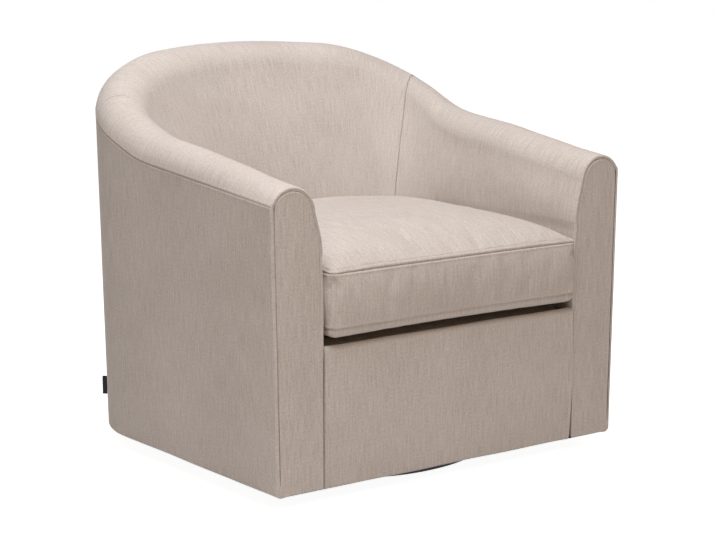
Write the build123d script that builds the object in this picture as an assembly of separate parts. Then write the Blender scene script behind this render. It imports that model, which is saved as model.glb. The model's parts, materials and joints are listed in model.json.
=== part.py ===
from build123d import *
import os
from math import acos, asin, atan2, ceil, cos, degrees, hypot, pi, radians, sin, sqrt
from types import SimpleNamespace

# Swivel tub chair. Millimetres, +Z up, front towards -Y.
# The origin is on the floor, on the swivel axis.

# Tub outside in plan, at its bottom edge
tub_width = 756.0
tub_depth = 737.0
corner_radius = 170.0
back_radius = 600.0
swivel_setback = 335.0          # facing plane to swivel axis
wall_flare = 0.02               # outward lean of the sides and back per unit of height

# Tub outside in height, above the floor
arm_seam_height = 524.0         # outside seam where it leaves the facing
arm_seam_slope = 0.08
back_seam_height = 674.0        # outside seam where the sweep ends
back_crown = 16.0               # further rise of the seam from the arm joints to the middle of the back
sweep_start = 385.0             # run along the outside where the arm begins to sweep up
sweep_length = 416.0
roll_rise_front = 33.0          # crest above the outside seam, at the facing
roll_rise = 43.0                # crest above the outside seam, further back
roll_rise_run = 400.0
crest_inset = 44.0
arm_roll_radius = 48.0
back_roll_radius = 65.0
arm_cover_share = 0.57          # share of the corner that the arm covers take

# Tub inside, at seat level
seat_width = 560.0
seat_depth = 540.0
seat_corner_radius = 160.0
seat_back_radius = 500.0
seat_line_height = 401.0        # inside walls stand upright below this
slice_turn_start = 250.0        # run where wall slices begin to fan round the corner
arm_slice_step = 42.0           # longest step between slices on the arm, the corner and the back
corner_slice_step = 27.0
back_slice_step = 52.0

# Upholstery layers
cover_thickness = 2.5
facing_thickness = 6.0
facing_edge_radius = 3.0
fit_gap = 0.4                   # cloth or foam to its neighbour
seam_gap = 0.5
ledge_drop = 25.0               # frame's top edge below the outside seam
frame_top_gap = 3.0             # foam ledge to the frame's top edges under it
shell_gap = 1.0                 # bent shell to the rails and posts inside it
deck_gap = 2.0                  # deck edge to the inside walls

# Base and turntable bearing
felt_thickness = 3.0
felt_margin = 8.0
disc_radius = 270.0
disc_thickness = 18.0
bearing_height = 12.0
ring_height = 10.0
ring_width = 21.0
race_radius = 142.0
race_gap = 6.0
ball_radius = 4.5
ball_clearance = 0.2
ball_count = 20
cage_thickness = 3.0
cage_end_gap = 0.4
ring_screw_count = 6
ring_screw_length = 22.0
access_hole_radius = 9.0

# Screws
screw_radius = 2.2
screw_head_radius = 4.4
screw_head_height = 2.6
screw_clearance = 0.05

# Frame
hem_drop = 2.0                  # covers hang this far below the frame
board_thickness = 15.0
panel_thickness = 15.0
shell_thickness = 8.0
swivel_board_thickness = 18.0
swivel_board_width = 520.0
bearer_width = 40.0
bearer_height = 42.0
board_screw_length = 45.0
board_screw_spacing = 180.0
side_rail_width = 30.0
seat_rail_height = 70.0
front_rail_thickness = 22.0
post_width = 45.0
post_depth = 40.0
corner_block_leg = 50.0
back_rail_thickness = 22.0
back_top_rail_height = 45.0
back_post_width = 40.0
back_post_spread = (64.5, 80.0)  # bearings of the right-hand posts, in degrees
strap_thickness = 2.0
strap_width = 60.0
strap_count = 4
strap_pitch = 85.0
lowest_strap_height = 300.0     # its lower edge

# Seat platform
deck_height = 278.0
deck_cloth_thickness = 2.4
deck_pad_thickness = 14.0
spring_count = 5
spring_spacing = 96.0
spring_width = 54.0
spring_runs = 19
wire_radius = 1.9
clip_width = 16.0
clip_depth = 12.0
clip_thickness = 1.4
clip_clearance = 0.15

# Front apron
apron_setback = 3.0
apron_bulge = 6.0
apron_top_radius = 20.0
apron_return = 70.0             # facing plane to the back edge of the apron's top

# Underside
dust_cover_thickness = 1.0
dust_hole_margin = 12.0
staple_length = 10.0
staple_width = 1.0
staple_thickness = 0.5
staples_per_side = 6

# Side tag
tag_height = 35.0
tag_reach = 9.0
tag_thickness = 1.2
tag_bottom_height = 88.0

# Seat cushion
cushion_gap = 10.0              # cushion seam to the inside walls
cushion_proud = 15.0            # cushion front ahead of the facings
cushion_front_draw = 4.0        # front edge pulled in between its corners
cushion_bottom_seam_height = 306.0
cushion_top_seam_height = 403.0
boxing_bulge = 2.5
crown_rise = 40.0
crown_run = 120.0
underside_run = 80.0
rest_gap = 0.3

# Cushion zip
zip_span = 40.0                 # degrees round the back of the cushion
zip_height = 22.0
zip_tape_thickness = 0.8
zip_coil_height = 5.0
zip_coil_thickness = 1.0
zip_gap = 0.3
slider_length = 9.0
slider_height = 11.0
slider_thickness = 2.4
slider_parked = 18.0            # degrees from the middle of the zip
pull_length = 18.0
pull_width = 5.0
pull_thickness = 1.2

# Places that follow from the sizes above
front_y = -swivel_setback
disc_top = felt_thickness + disc_thickness
frame_floor = disc_top + bearing_height
bottom_edge = frame_floor - hem_drop
ball_height = disc_top + bearing_height / 2
inner_ring_radius = race_radius - race_gap / 2
outer_ring_radius = race_radius + race_gap / 2
board_top = frame_floor + swivel_board_thickness
lower_frame_top = board_top + bearer_height
clip_bore_radius = wire_radius + clip_clearance
clip_height = 2 * (clip_bore_radius + clip_thickness)
spring_seat = deck_height - deck_cloth_thickness - deck_pad_thickness - fit_gap - clip_height
clip_top = spring_seat + clip_height
spring_height = spring_seat + clip_height / 2
tuck_height = clip_top + fit_gap
board_back_y = front_y + facing_thickness + board_thickness
frame_inset = cover_thickness + fit_gap
frame_drop = ledge_drop + frame_top_gap
shell_inside = frame_inset + shell_thickness
back_rail_inset = shell_inside + shell_gap
back_frame_inset = back_rail_inset + back_rail_thickness
strap_inset = back_frame_inset + fit_gap
back_foam_inset = strap_inset + strap_thickness + fit_gap
arm_foam_inset = frame_inset + panel_thickness + fit_gap
panel_inside_x = tub_width / 2 - frame_inset - panel_thickness


def smooth(share):
    """Eased step from 0 to 1."""
    held = min(max(share, 0.0), 1.0)
    return held * held * (3 - 2 * held)


class Arch:
    """Half of a tub's plan curve: a straight side, a corner arc and a back arc, each tangent to the next."""

    def __init__(self, half_width, depth, corner, back):
        self.half_width = half_width
        self.depth = depth
        self.corner = corner
        self.back = back
        self.turn = acos((half_width - corner) / (back - corner))
        self.corner_x = half_width - corner
        self.back_centre_y = front_y + depth - back
        self.corner_y = self.back_centre_y + (back - corner) * sin(self.turn)
        self.straight = self.corner_y - front_y
        self.corner_run = corner * self.turn
        self.length = self.straight + self.corner_run + back * (pi / 2 - self.turn)

    def inset(self, amount):
        """The same curve moved inwards, with its arcs on the same centres."""
        return Arch(self.half_width - amount, self.depth - amount, self.corner - amount, self.back - amount)

    def bearing(self, run):
        """Direction the curve faces, in radians from +X, at a run measured from the facing plane."""
        if run <= self.straight:
            return 0.0
        if run <= self.straight + self.corner_run:
            return (run - self.straight) / self.corner
        return self.turn + (run - self.straight - self.corner_run) / self.back

    def spot(self, bearing):
        """Point of the corner or the back that faces a bearing."""
        if bearing <= self.turn:
            return (self.corner_x + self.corner * cos(bearing), self.corner_y + self.corner * sin(bearing))
        return (self.back * cos(bearing), self.back_centre_y + self.back * sin(bearing))

    def point(self, run):
        """Point at a run measured from the facing plane."""
        if run <= self.straight:
            return (self.half_width, front_y + run)
        return self.spot(self.bearing(run))

    def run_at(self, bearing):
        """Run at which the back arc faces a bearing."""
        return self.straight + self.corner_run + (bearing - self.turn) * self.back

    def hit(self, start, heading):
        """First point where a line from outside meets the curve."""
        reach = (self.half_width - start[0]) / heading[0] if heading[0] else -1.0
        side_y = start[1] + reach * heading[1]
        if reach >= 0 and side_y <= self.corner_y:
            return (self.half_width, side_y)
        corner_hit = circle_hit(start, heading, (self.corner_x, self.corner_y), self.corner)
        if corner_hit and atan2(corner_hit[1] - self.corner_y, corner_hit[0] - self.corner_x) <= self.turn:
            return corner_hit
        return circle_hit(start, heading, (0.0, self.back_centre_y), self.back)

    def rim(self, bearing):
        """Edges round the back, from a bearing on the right to the same bearing on the left."""
        right = self.spot(bearing)
        joint = self.spot(self.turn)
        crown = (0.0, front_y + self.depth)
        if bearing >= self.turn:
            return [ThreePointArc(right, crown, flipped(right))]
        middle = self.spot((bearing + self.turn) / 2)
        corner_arc = ThreePointArc(right, middle, joint)
        back_arc = ThreePointArc(joint, crown, flipped(joint))
        far_arc = ThreePointArc(flipped(joint), flipped(middle), flipped(right))
        return [corner_arc, back_arc, far_arc]

    def outline(self, front_edge_y, draw=0.0):
        """Closed plan: the curve on both sides, and a front edge pulled in by draw at its middle."""
        right_front = (self.half_width, front_edge_y)
        right_back = (self.half_width, self.corner_y)
        sides = [Line(right_front, right_back)] + self.rim(0.0)
        sides.append(Line(flipped(right_back), flipped(right_front)))
        if draw:
            sides.append(ThreePointArc(flipped(right_front), (0.0, front_edge_y + draw), right_front))
        else:
            sides.append(Line(flipped(right_front), right_front))
        return Wire(sides)


def flipped(point):
    """A plan point on the other side of the chair."""
    return (-point[0], point[1])


def circle_hit(start, heading, centre, radius):
    """First point where a line meets a circle, or None."""
    gap = (start[0] - centre[0], start[1] - centre[1])
    along = gap[0] * heading[0] + gap[1] * heading[1]
    spare = along * along - gap[0] ** 2 - gap[1] ** 2 + radius * radius
    if spare < 0:
        return None
    reach = -along - sqrt(spare)
    return (start[0] + reach * heading[0], start[1] + reach * heading[1])


tub = Arch(tub_width / 2, tub_depth, corner_radius, back_radius)
seat = Arch(seat_width / 2, seat_depth, seat_corner_radius, seat_back_radius)
split_run = tub.straight + arm_cover_share * tub.corner_run
sweep_end = sweep_start + sweep_length

# The side rails run back until they meet the bent back shell
shell_corner = tub.inset(back_rail_inset)
rear_frame_y = shell_corner.corner_y + sqrt(shell_corner.corner ** 2 - (panel_inside_x - tub.corner_x) ** 2)


def sweep_share(run):
    """How far the arm has swept up into the back."""
    return smooth((run - sweep_start) / sweep_length)


def seam_height(run):
    """Height of the outside seam."""
    share = sweep_share(run)
    crown = back_crown * smooth((run - split_run) / (tub.length - split_run))
    return (arm_seam_height + arm_seam_slope * run) * (1 - share) + back_seam_height * share + crown


back_rail_top = seam_height(sweep_end) - frame_drop


class Slice:
    """Upright slice through the tub wall. Its points are (inward offset, height)."""

    def __init__(self, run, side=1):
        self.run = run
        start = tub.point(run)
        turned = pi / 2 * smooth_turn(run)
        heading = (-cos(turned), -sin(turned))
        inner = seat.hit(start, heading)
        self.side = side
        self.start = start
        self.heading = heading
        self.slant = cos(turned - tub.bearing(run))
        self.depth = hypot(inner[0] - start[0], inner[1] - start[1])

    def place(self, point):
        """The slice's point in the chair."""
        across = self.start[0] + self.heading[0] * point[0]
        along = self.start[1] + self.heading[1] * point[0]
        return Vector(self.side * across, along, point[1])

    def square(self, inset):
        """Offset in the slice of a depth measured square to the outside wall."""
        return inset / self.slant

    def wall(self, height):
        """Offset of the outside surface at a height."""
        return -self.square(wall_flare * (height - bottom_edge))

    def roll(self, under):
        """Line of the rolled inside, some way under its surface, from the outside seam down to the tuck."""
        rise = roll_rise_front + (roll_rise - roll_rise_front) * smooth(self.run / roll_rise_run)
        seam = seam_height(self.run)
        crest_w = self.wall(seam) + crest_inset
        crest_z = seam + rise
        outer_radius = (crest_inset ** 2 + rise ** 2) / (2 * rise)
        inner_radius = arm_roll_radius + (back_roll_radius - arm_roll_radius) * sweep_share(self.run)
        outer_z = crest_z - outer_radius
        inner_z = crest_z - inner_radius
        start_z = seam + seam_gap
        start_angle = pi - asin((start_z - outer_z) / (outer_radius - under))
        reach = hypot(self.depth - crest_w, seat_line_height - inner_z)
        aim = atan2(seat_line_height - inner_z, self.depth - crest_w)
        touch_angle = aim + acos(inner_radius / reach)
        mitre = under / (1 + cos(touch_angle))
        seat_point = (self.depth - mitre * (1 + cos(touch_angle)), seat_line_height - mitre * sin(touch_angle))
        outer = lambda angle: around((crest_w, outer_z), outer_radius - under, angle)
        inner = lambda angle: around((crest_w, inner_z), inner_radius - under, angle)
        return SimpleNamespace(
            seam=outer(start_angle),
            shoulder=outer((start_angle + pi / 2) / 2),
            crest=outer(pi / 2),
            brow=inner((pi / 2 + touch_angle) / 2),
            touch=inner(touch_angle),
            seat=seat_point,
            tuck=(self.depth - under, tuck_height),
        )

    def wire(self, first, *steps):
        """Closed outline: each step is a point for a line, or a middle and an end for an arc."""
        here = first
        edges = []
        for step in steps + ((first,),):
            end = step[-1]
            ends = (self.place(here), self.place(end))
            if len(step) == 1:
                edges.append(Line(*ends))
            else:
                edges.append(ThreePointArc(ends[0], self.place(step[0]), ends[1]))
            here = end
        return Wire(edges)


def smooth_turn(run):
    """How far the wall slices have fanned round from the side to the back."""
    return smooth((run - slice_turn_start) / (tub.length - slice_turn_start))


def around(centre, radius, angle):
    """Point on a circle."""
    return (centre[0] + radius * cos(angle), centre[1] + radius * sin(angle))


def spaced(first, last, count):
    """Evenly spaced values."""
    return [first + (last - first) * step / (count - 1) for step in range(count)]


def stepped(first, last, longest):
    """Evenly spaced values, as many as keep each step short enough, without the last."""
    return spaced(first, last, 1 + ceil((last - first) / longest))[:-1]


def arm_slices():
    """Slices of the right arm, from the facing to the sewn joint with the back."""
    start = facing_thickness + seam_gap
    end = split_run - seam_gap / 2
    bend = stepped(slice_turn_start, tub.straight, arm_slice_step)
    corner = stepped(tub.straight, end, corner_slice_step)
    return [Slice(run) for run in [start] + bend + corner + [end]]


def back_slices(lead_runs):
    """Slices from the runs given on the right, round the back, to the same runs on the left."""
    corner_end = tub.straight + tub.corner_run
    corner = stepped(split_run + seam_gap / 2, corner_end, corner_slice_step)
    back = stepped(corner_end, tub.length, back_slice_step)
    runs = lead_runs + corner + back
    left = [Slice(run, -1) for run in reversed(runs)]
    return [Slice(run) for run in runs + [tub.length]] + left


def loft_through(cuts, outline):
    """Solid through one outline on each slice, straight from each slice to the next."""
    return Solid.make_loft([outline(cut) for cut in cuts], ruled=True)


def inside_cover_outline(cut):
    """Sewn cover over the roll and down the inside wall."""
    face = cut.roll(0.0)
    lining = cut.roll(cover_thickness)
    return cut.wire(
        face.seam, (face.shoulder, face.crest), (face.brow, face.touch), (face.seat,), (face.tuck,),
        (lining.tuck,), (lining.seat,), (lining.touch,), (lining.brow, lining.crest),
        (lining.shoulder, lining.seam),
    )


def foam_outline(cut, frame_w):
    """Foam under the inside cover, hooked over the frame's top edge."""
    skin = cut.roll(cover_thickness + fit_gap)
    ledge = seam_height(cut.run) - ledge_drop + fit_gap
    back_w = cut.square(frame_w)
    lip_w = cut.wall(ledge) + cut.square(frame_inset) + fit_gap
    return cut.wire(
        skin.seam, (skin.shoulder, skin.crest), (skin.brow, skin.touch), (skin.seat,), (skin.tuck,),
        ((back_w, tuck_height),), ((back_w, ledge),), ((lip_w, ledge),),
    )


def outside_cover_outline(cut):
    """Sewn cover on the outside wall."""
    seam = seam_height(cut.run)
    low = cut.wall(bottom_edge)
    high = cut.wall(seam)
    thick = cut.square(cover_thickness)
    return cut.wire(
        (low, bottom_edge), ((high, seam),), ((high + thick, seam),), ((low + thick, bottom_edge),),
    )


def shell_outline(cut):
    """Bent sheet behind the outside back cover."""
    top = seam_height(cut.run) - ledge_drop
    near = cut.square(frame_inset)
    far = cut.square(shell_inside)
    return cut.wire((near, frame_floor), ((near, top),), ((far, top),), ((far, frame_floor),))


def facing_wire(cut, under, low_z):
    """Outline of the arm's front end, some way inside its edge."""
    line = cut.roll(under)
    return cut.wire(
        (cut.wall(low_z) + under, low_z), (line.seam,), (line.shoulder, line.crest), (line.brow, line.touch),
        (line.seat,), ((cut.depth - under, low_z),),
    )


def block(x, y, z):
    """Box between pairs of limits."""
    size = Box(x[1] - x[0], y[1] - y[0], z[1] - z[0], align=(Align.MIN, Align.MIN, Align.MIN))
    return Pos(x[0], y[0], z[0]) * size


def upright(wire, bottom, height):
    """Prism on a plan outline drawn at height zero."""
    return Pos(0, 0, bottom) * extrude(Face(wire), amount=height, dir=(0, 0, 1))


def wall_band(outside, inside, bearing):
    """Plan outline of a strip that follows the back between two insets."""
    near = tub.inset(outside)
    far = tub.inset(inside)
    end = Line(flipped(near.spot(bearing)), flipped(far.spot(bearing)))
    start = Line(far.spot(bearing), near.spot(bearing))
    return Wire(near.rim(bearing) + [end] + far.rim(bearing) + [start])


def ring(inner, outer, bottom, height):
    """Flat ring on the swivel axis."""
    plain = Pos(0, 0, bottom + height / 2) * (Cylinder(outer, height) - Cylinder(inner, height))
    return plain


def other_side(part):
    """The left-hand partner of a right-hand piece."""
    return mirror(part, about=Plane.YZ)


def screw(length, spare=0.0):
    """Countersunk screw pointing down, its head's top at height zero, grown by spare for its hole."""
    head = Cone(screw_radius + spare, screw_head_radius + spare, screw_head_height)
    shank = Cylinder(screw_radius + spare, length - screw_head_height)
    return Pos(0, 0, -screw_head_height / 2) * head + Pos(0, 0, -(length + screw_head_height) / 2) * shank


def screw_circle(radius, height, spare=0.0, upward=False):
    """Ring of screws, driven down, or up from below."""
    flip = Rot(180, 0, 0) if upward else Rot(0, 0, 0)
    turns = [360 * index / ring_screw_count for index in range(ring_screw_count)]
    return [Rot(0, 0, turn) * Pos(radius, 0, height) * flip * screw(ring_screw_length, spare) for turn in turns]


def cut_all(part, tools):
    """Part with every tool taken out of it."""
    for tool in tools:
        part = part - tool
    return part


def base_nodes():
    """Felt, base board, fixed ring of the bearing and its screws."""
    screw_ring = inner_ring_radius - ring_width / 2
    head_top = disc_top + ring_height
    holes = screw_circle(screw_ring, head_top, screw_clearance)
    reach = outer_ring_radius + ring_width / 2
    access = Rot(0, 0, 180 / ring_screw_count) * Pos(reach, 0, disc_top / 2) * Cylinder(access_hole_radius, disc_top)
    disc = ring_board(disc_radius, felt_thickness, disc_thickness)
    felt = ring_board(disc_radius - felt_margin, 0.0, felt_thickness)
    inner = ring(inner_ring_radius - ring_width, inner_ring_radius, disc_top, ring_height) - race()
    return {
        "base_felt": felt - access,
        "base_disc": cut_all(disc - access, holes),
        "bearing_inner_ring": cut_all(inner, holes),
        "inner_ring_screws": screw_circle(screw_ring, head_top),
    }


def ring_board(radius, bottom, thickness):
    """Round board on the swivel axis."""
    return Pos(0, 0, bottom + thickness / 2) * Cylinder(radius, thickness)


def race():
    """Space that the balls need between the rings."""
    return Pos(0, 0, ball_height) * Torus(race_radius, ball_radius + ball_clearance)


def cage_nodes():
    """Balls, and the strip that spaces them."""
    bottom = disc_top + cage_end_gap
    strip_height = bearing_height - 2 * cage_end_gap
    strip = ring(race_radius - cage_thickness / 2, race_radius + cage_thickness / 2, bottom, strip_height)
    turns = [360 * index / ball_count for index in range(ball_count)]
    spots = [Rot(0, 0, turn) * Pos(race_radius, 0, ball_height) for turn in turns]
    pocket = Rot(0, 90, 0) * Cylinder(ball_radius + ball_clearance, 2 * cage_thickness)
    return {
        "ball_cage": cut_all(strip, [spot * pocket for spot in spots]),
        "bearing_balls": [spot * Sphere(ball_radius) for spot in spots],
    }


def board_screw_spots():
    """Plan places of the screws that hold the swivel board to its bearers."""
    row_y = rear_frame_y - bearer_width / 2
    return [(column * board_screw_spacing, row) for row in (-row_y, row_y) for column in (-1, 0, 1)]


def board_screws(spare=0.0):
    """Screws driven up through the swivel board."""
    upward = Rot(180, 0, 0) * screw(board_screw_length, spare)
    return [Pos(x, y, frame_floor) * upward for x, y in board_screw_spots()]


def turning_nodes():
    """Turning ring of the bearing, the swivel board and the bearers on it."""
    screw_ring = outer_ring_radius + ring_width / 2
    low = frame_floor - ring_height
    holes = screw_circle(screw_ring, low, screw_clearance, upward=True)
    board_holes = board_screws(screw_clearance)
    outer = ring(outer_ring_radius, outer_ring_radius + ring_width, low, ring_height) - race()
    half_board = swivel_board_width / 2
    board = block((-half_board, half_board), (-rear_frame_y, rear_frame_y), (frame_floor, board_top))
    half_bearer = panel_inside_x - side_rail_width
    span = (-half_bearer, half_bearer)
    rise = (board_top, lower_frame_top)
    front = block(span, (-rear_frame_y, -rear_frame_y + bearer_width), rise)
    rear = block(span, (rear_frame_y - bearer_width, rear_frame_y), rise)
    return {
        "bearing_outer_ring": cut_all(outer, holes),
        "outer_ring_screws": screw_circle(screw_ring, low, upward=True),
        "swivel_board": cut_all(board, holes + board_holes),
        "board_screws": board_screws(),
        "front_bearer": cut_all(front, board_holes),
        "rear_bearer": cut_all(rear, board_holes),
    }


def rail_nodes():
    """Straight rails and posts of the seat frame."""
    post_x = (panel_inside_x - post_width, panel_inside_x)
    rail_x = (panel_inside_x - side_rail_width, panel_inside_x)
    post_y = (board_back_y, board_back_y + post_depth)
    rail_y = (post_y[1], rear_frame_y)
    seat_z = (spring_seat - seat_rail_height, spring_seat)
    post = block(post_x, post_y, (frame_floor, spring_seat))
    bottom_rail = block(rail_x, rail_y, (frame_floor, lower_frame_top))
    seat_rail = block(rail_x, rail_y, seat_z)
    front_y_limits = (board_back_y, board_back_y + front_rail_thickness)
    front_rail = block((-post_x[0], post_x[0]), front_y_limits, (frame_floor, spring_seat))
    rear_rail = block((-rail_x[0], rail_x[0]), (rear_frame_y - side_rail_width, rear_frame_y), seat_z)
    return {
        "right_front_post": post,
        "left_front_post": other_side(post),
        "right_bottom_rail": bottom_rail,
        "left_bottom_rail": other_side(bottom_rail),
        "right_seat_rail": seat_rail,
        "left_seat_rail": other_side(seat_rail),
        "front_rail": front_rail,
        "rear_seat_rail": rear_rail,
        "corner_blocks": corner_blocks(rail_x[0], rear_frame_y - side_rail_width, seat_z),
    }


def corner_blocks(rail_face_x, rail_face_y, limits):
    """Glued triangular blocks where the rear seat rail meets the side rails."""
    corner = (rail_face_x, rail_face_y)
    along_x = (rail_face_x - corner_block_leg, rail_face_y)
    along_y = (rail_face_x, rail_face_y - corner_block_leg)
    triangle = Wire([Line(corner, along_x), Line(along_x, along_y), Line(along_y, corner)])
    right = upright(triangle, limits[0], limits[1] - limits[0])
    return [right, other_side(right)]


def panel_nodes():
    """Sheet parts of the frame: side panels, arm front boards and the bent back shell."""
    face_x = tub_width / 2 - frame_inset
    end_y = tub.corner_y - shell_inside
    top = lambda y: arm_seam_height + arm_seam_slope * (y - front_y) - frame_drop
    low_edge = [(face_x, board_back_y, frame_floor), (face_x, end_y, frame_floor)]
    corners = low_edge + [(face_x, end_y, top(end_y)), (face_x, board_back_y, top(board_back_y))]
    panel = extrude(Face(Wire.make_polygon(corners)), amount=panel_thickness, dir=(-1, 0, 0))
    end = facing_wire(Slice(0.0), frame_inset, frame_floor)
    board = Pos(0, facing_thickness, 0) * extrude(Face(end), amount=board_thickness, dir=(0, 1, 0))
    shell_lead = stepped(tub.straight, split_run, corner_slice_step)
    return {
        "right_side_panel": panel,
        "left_side_panel": other_side(panel),
        "right_front_board": board,
        "left_front_board": other_side(board),
        "back_shell": loft_through(back_slices(shell_lead), shell_outline),
    }


def back_frame_nodes():
    """Curved rails, posts and webbing that carry the back foam."""
    low_inset = tub.inset(back_frame_inset)
    low_bearing = asin((rear_frame_y + fit_gap - tub.corner_y) / low_inset.corner)
    band = wall_band(back_rail_inset, back_frame_inset, low_bearing)
    bottom_rail = upright(band, frame_floor, lower_frame_top - frame_floor)
    top_band = wall_band(back_rail_inset, back_frame_inset, tub.bearing(sweep_end))
    top_rail = upright(top_band, back_rail_top - back_top_rail_height, back_top_rail_height)
    strap_bearing = radians(back_post_spread[0]) - back_post_width / 2 / back_radius
    strap_band = wall_band(strap_inset, strap_inset + strap_thickness, strap_bearing)
    levels = [lowest_strap_height + strap_pitch * index for index in range(strap_count)]
    posts = [back_post(radians(angle)) for angle in back_post_spread]
    return {
        "rear_bottom_rail": bottom_rail,
        "back_top_rail": top_rail,
        "back_posts": posts + [other_side(post) for post in posts],
        "back_webbing": [upright(strap_band, level, strap_width) for level in levels],
    }


def back_post(bearing):
    """Post that stands on the curved bottom rail, against the bent shell."""
    spread = back_post_width / 2
    sag = spread ** 2 / (back_radius - shell_inside)
    thickness = back_rail_thickness - sag
    run = tub.run_at(bearing)
    under_rail = back_rail_top - back_top_rail_height
    free_top = seam_height(run - spread) - frame_drop
    top = under_rail if run + spread > sweep_end else free_top
    middle = tub.inset(back_frame_inset - thickness / 2).spot(bearing)
    height = top - lower_frame_top
    post = Box(back_post_width, thickness, height)
    return Pos(middle[0], middle[1], lower_frame_top + height / 2) * Rot(0, 0, degrees(bearing) - 90) * post


def spring_ends():
    """Places along Y where the springs are clipped to the front and rear rails."""
    front = board_back_y + front_rail_thickness / 2
    rear = rear_frame_y - side_rail_width / 2
    return front, rear


def zigzag_path():
    """Flat zigzag of straight runs and half turns, from the front clip to the rear one."""
    front, rear = spring_ends()
    pitch = (rear - front) / (spring_runs - 1)
    turn = pitch / 2
    half_run = spring_width / 2 - turn
    quarter = turn * cos(pi / 4)
    edges = []
    for index in range(spring_runs):
        way = 1 if index % 2 == 0 else -1
        y = front + index * pitch
        end = (way * half_run, y, spring_height)
        edges.append(Line((-way * half_run, y, spring_height), end))
        if index < spring_runs - 1:
            tip = (way * (half_run + turn), y + turn, spring_height)
            lower = (way * (half_run + quarter), y + turn - quarter, spring_height)
            upper = (way * (half_run + quarter), y + turn + quarter, spring_height)
            edges.append(ThreePointArc(end, lower, tip))
            edges.append(ThreePointArc(tip, upper, (way * half_run, y + pitch, spring_height)))
    return Wire(edges)


def spring_nodes():
    """Zigzag seat springs and the clips that hold their ends."""
    path = zigzag_path()
    start = path @ 0
    spring = sweep(Plane(start, z_dir=(1, 0, 0)) * Circle(wire_radius), path=path)
    middle = (spring_count - 1) / 2
    columns = [(index - middle) * spring_spacing for index in range(spring_count)]
    bore = Rot(0, 90, 0) * Cylinder(clip_bore_radius, clip_width)
    clip = Box(clip_width, clip_depth, clip_height) - bore
    rows = spring_ends()
    return {
        "seat_springs": [Pos(x, 0, 0) * spring for x in columns],
        "spring_clips": [Pos(x, y, spring_height) * clip for x in columns for y in rows],
    }


def deck_nodes():
    """Pad and cloth of the seat platform, behind the apron's top."""
    plan = seat.inset(deck_gap).outline(front_y + apron_return + fit_gap)
    pad_bottom = clip_top + fit_gap
    return {
        "deck_pad": upright(plan, pad_bottom, deck_pad_thickness),
        "deck_cloth": upright(plan, deck_height - deck_cloth_thickness, deck_cloth_thickness),
    }


def apron_line(under):
    """Side view of the apron's face, some way under its surface: foot, bulge, brow and back edge."""
    face = front_y + apron_setback
    brow_centre = (face + apron_top_radius, deck_height - apron_top_radius)
    brow_radius = apron_top_radius - under
    brow_middle = around(brow_centre, brow_radius, 3 * pi / 4)
    return SimpleNamespace(
        foot=face + under,
        bulge=(face - apron_bulge + under, (bottom_edge + brow_centre[1]) / 2),
        shoulder=(face + under, brow_centre[1]),
        brow=brow_middle,
        top=(brow_centre[0], deck_height - under),
        back=(front_y + apron_return, deck_height - under),
    )


def apron_nodes():
    """Padded panel between the facings, rolled over the front rail."""
    half_span = seat_width / 2 - fit_gap
    side = lambda point: (-half_span, point[0], point[1])
    face = apron_line(0.0)
    lining = apron_line(cover_thickness)
    cover = Wire([
        ThreePointArc(side((face.foot, bottom_edge)), side(face.bulge), side(face.shoulder)),
        ThreePointArc(side(face.shoulder), side(face.brow), side(face.top)),
        Line(side(face.top), side(face.back)),
        Line(side(face.back), side(lining.back)),
        Line(side(lining.back), side(lining.top)),
        ThreePointArc(side(lining.top), side(lining.brow), side(lining.shoulder)),
        ThreePointArc(side(lining.shoulder), side(lining.bulge), side((lining.foot, bottom_edge))),
        Line(side((lining.foot, bottom_edge)), side((face.foot, bottom_edge))),
    ])
    skin = apron_line(cover_thickness + fit_gap)
    rail_y = board_back_y - fit_gap
    rail_top = clip_top + fit_gap
    pad = Wire([
        ThreePointArc(side((skin.foot, frame_floor)), side(skin.bulge), side(skin.shoulder)),
        ThreePointArc(side(skin.shoulder), side(skin.brow), side(skin.top)),
        Line(side(skin.top), side(skin.back)),
        Line(side(skin.back), side((skin.back[0], rail_top))),
        Line(side((skin.back[0], rail_top)), side((rail_y, rail_top))),
        Line(side((rail_y, rail_top)), side((rail_y, frame_floor))),
        Line(side((rail_y, frame_floor)), side((skin.foot, frame_floor))),
    ])
    return {
        "apron_cover": extrude(Face(cover), amount=2 * half_span, dir=(1, 0, 0)),
        "apron_pad": extrude(Face(pad), amount=2 * half_span, dir=(1, 0, 0)),
    }


def soft_wall_nodes():
    """Foam and sewn covers of the arms and the back."""
    arm_cuts = arm_slices()
    back_cuts = back_slices([])
    inside_arm = loft_through(arm_cuts, inside_cover_outline)
    outside_arm = loft_through(arm_cuts, outside_cover_outline)
    board_space = block((0.0, tub_width), (front_y, board_back_y + fit_gap), (0.0, 2 * back_seam_height))
    arm_foam = loft_through(arm_cuts, lambda cut: foam_outline(cut, arm_foam_inset)) - board_space
    facing = rounded_facing()
    return {
        "right_arm_foam": arm_foam,
        "left_arm_foam": other_side(arm_foam),
        "back_foam": loft_through(back_cuts, lambda cut: foam_outline(cut, back_foam_inset)),
        "right_inside_arm_cover": inside_arm,
        "left_inside_arm_cover": other_side(inside_arm),
        "inside_back_cover": loft_through(back_cuts, inside_cover_outline),
        "right_outside_arm_cover": outside_arm,
        "left_outside_arm_cover": other_side(outside_arm),
        "outside_back_cover": loft_through(back_cuts, outside_cover_outline),
        "right_arm_facing": facing,
        "left_arm_facing": other_side(facing),
    }


def rounded_facing():
    """Padded panel on the front end of the arm, its front edge rounded."""
    end = facing_wire(Slice(0.0), 0.0, bottom_edge)
    plain = extrude(Face(end), amount=facing_thickness, dir=(0, 1, 0))
    front_edges = plain.faces().sort_by(Axis.Y)[0].edges()
    return fillet(front_edges, radius=facing_edge_radius)


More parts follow.
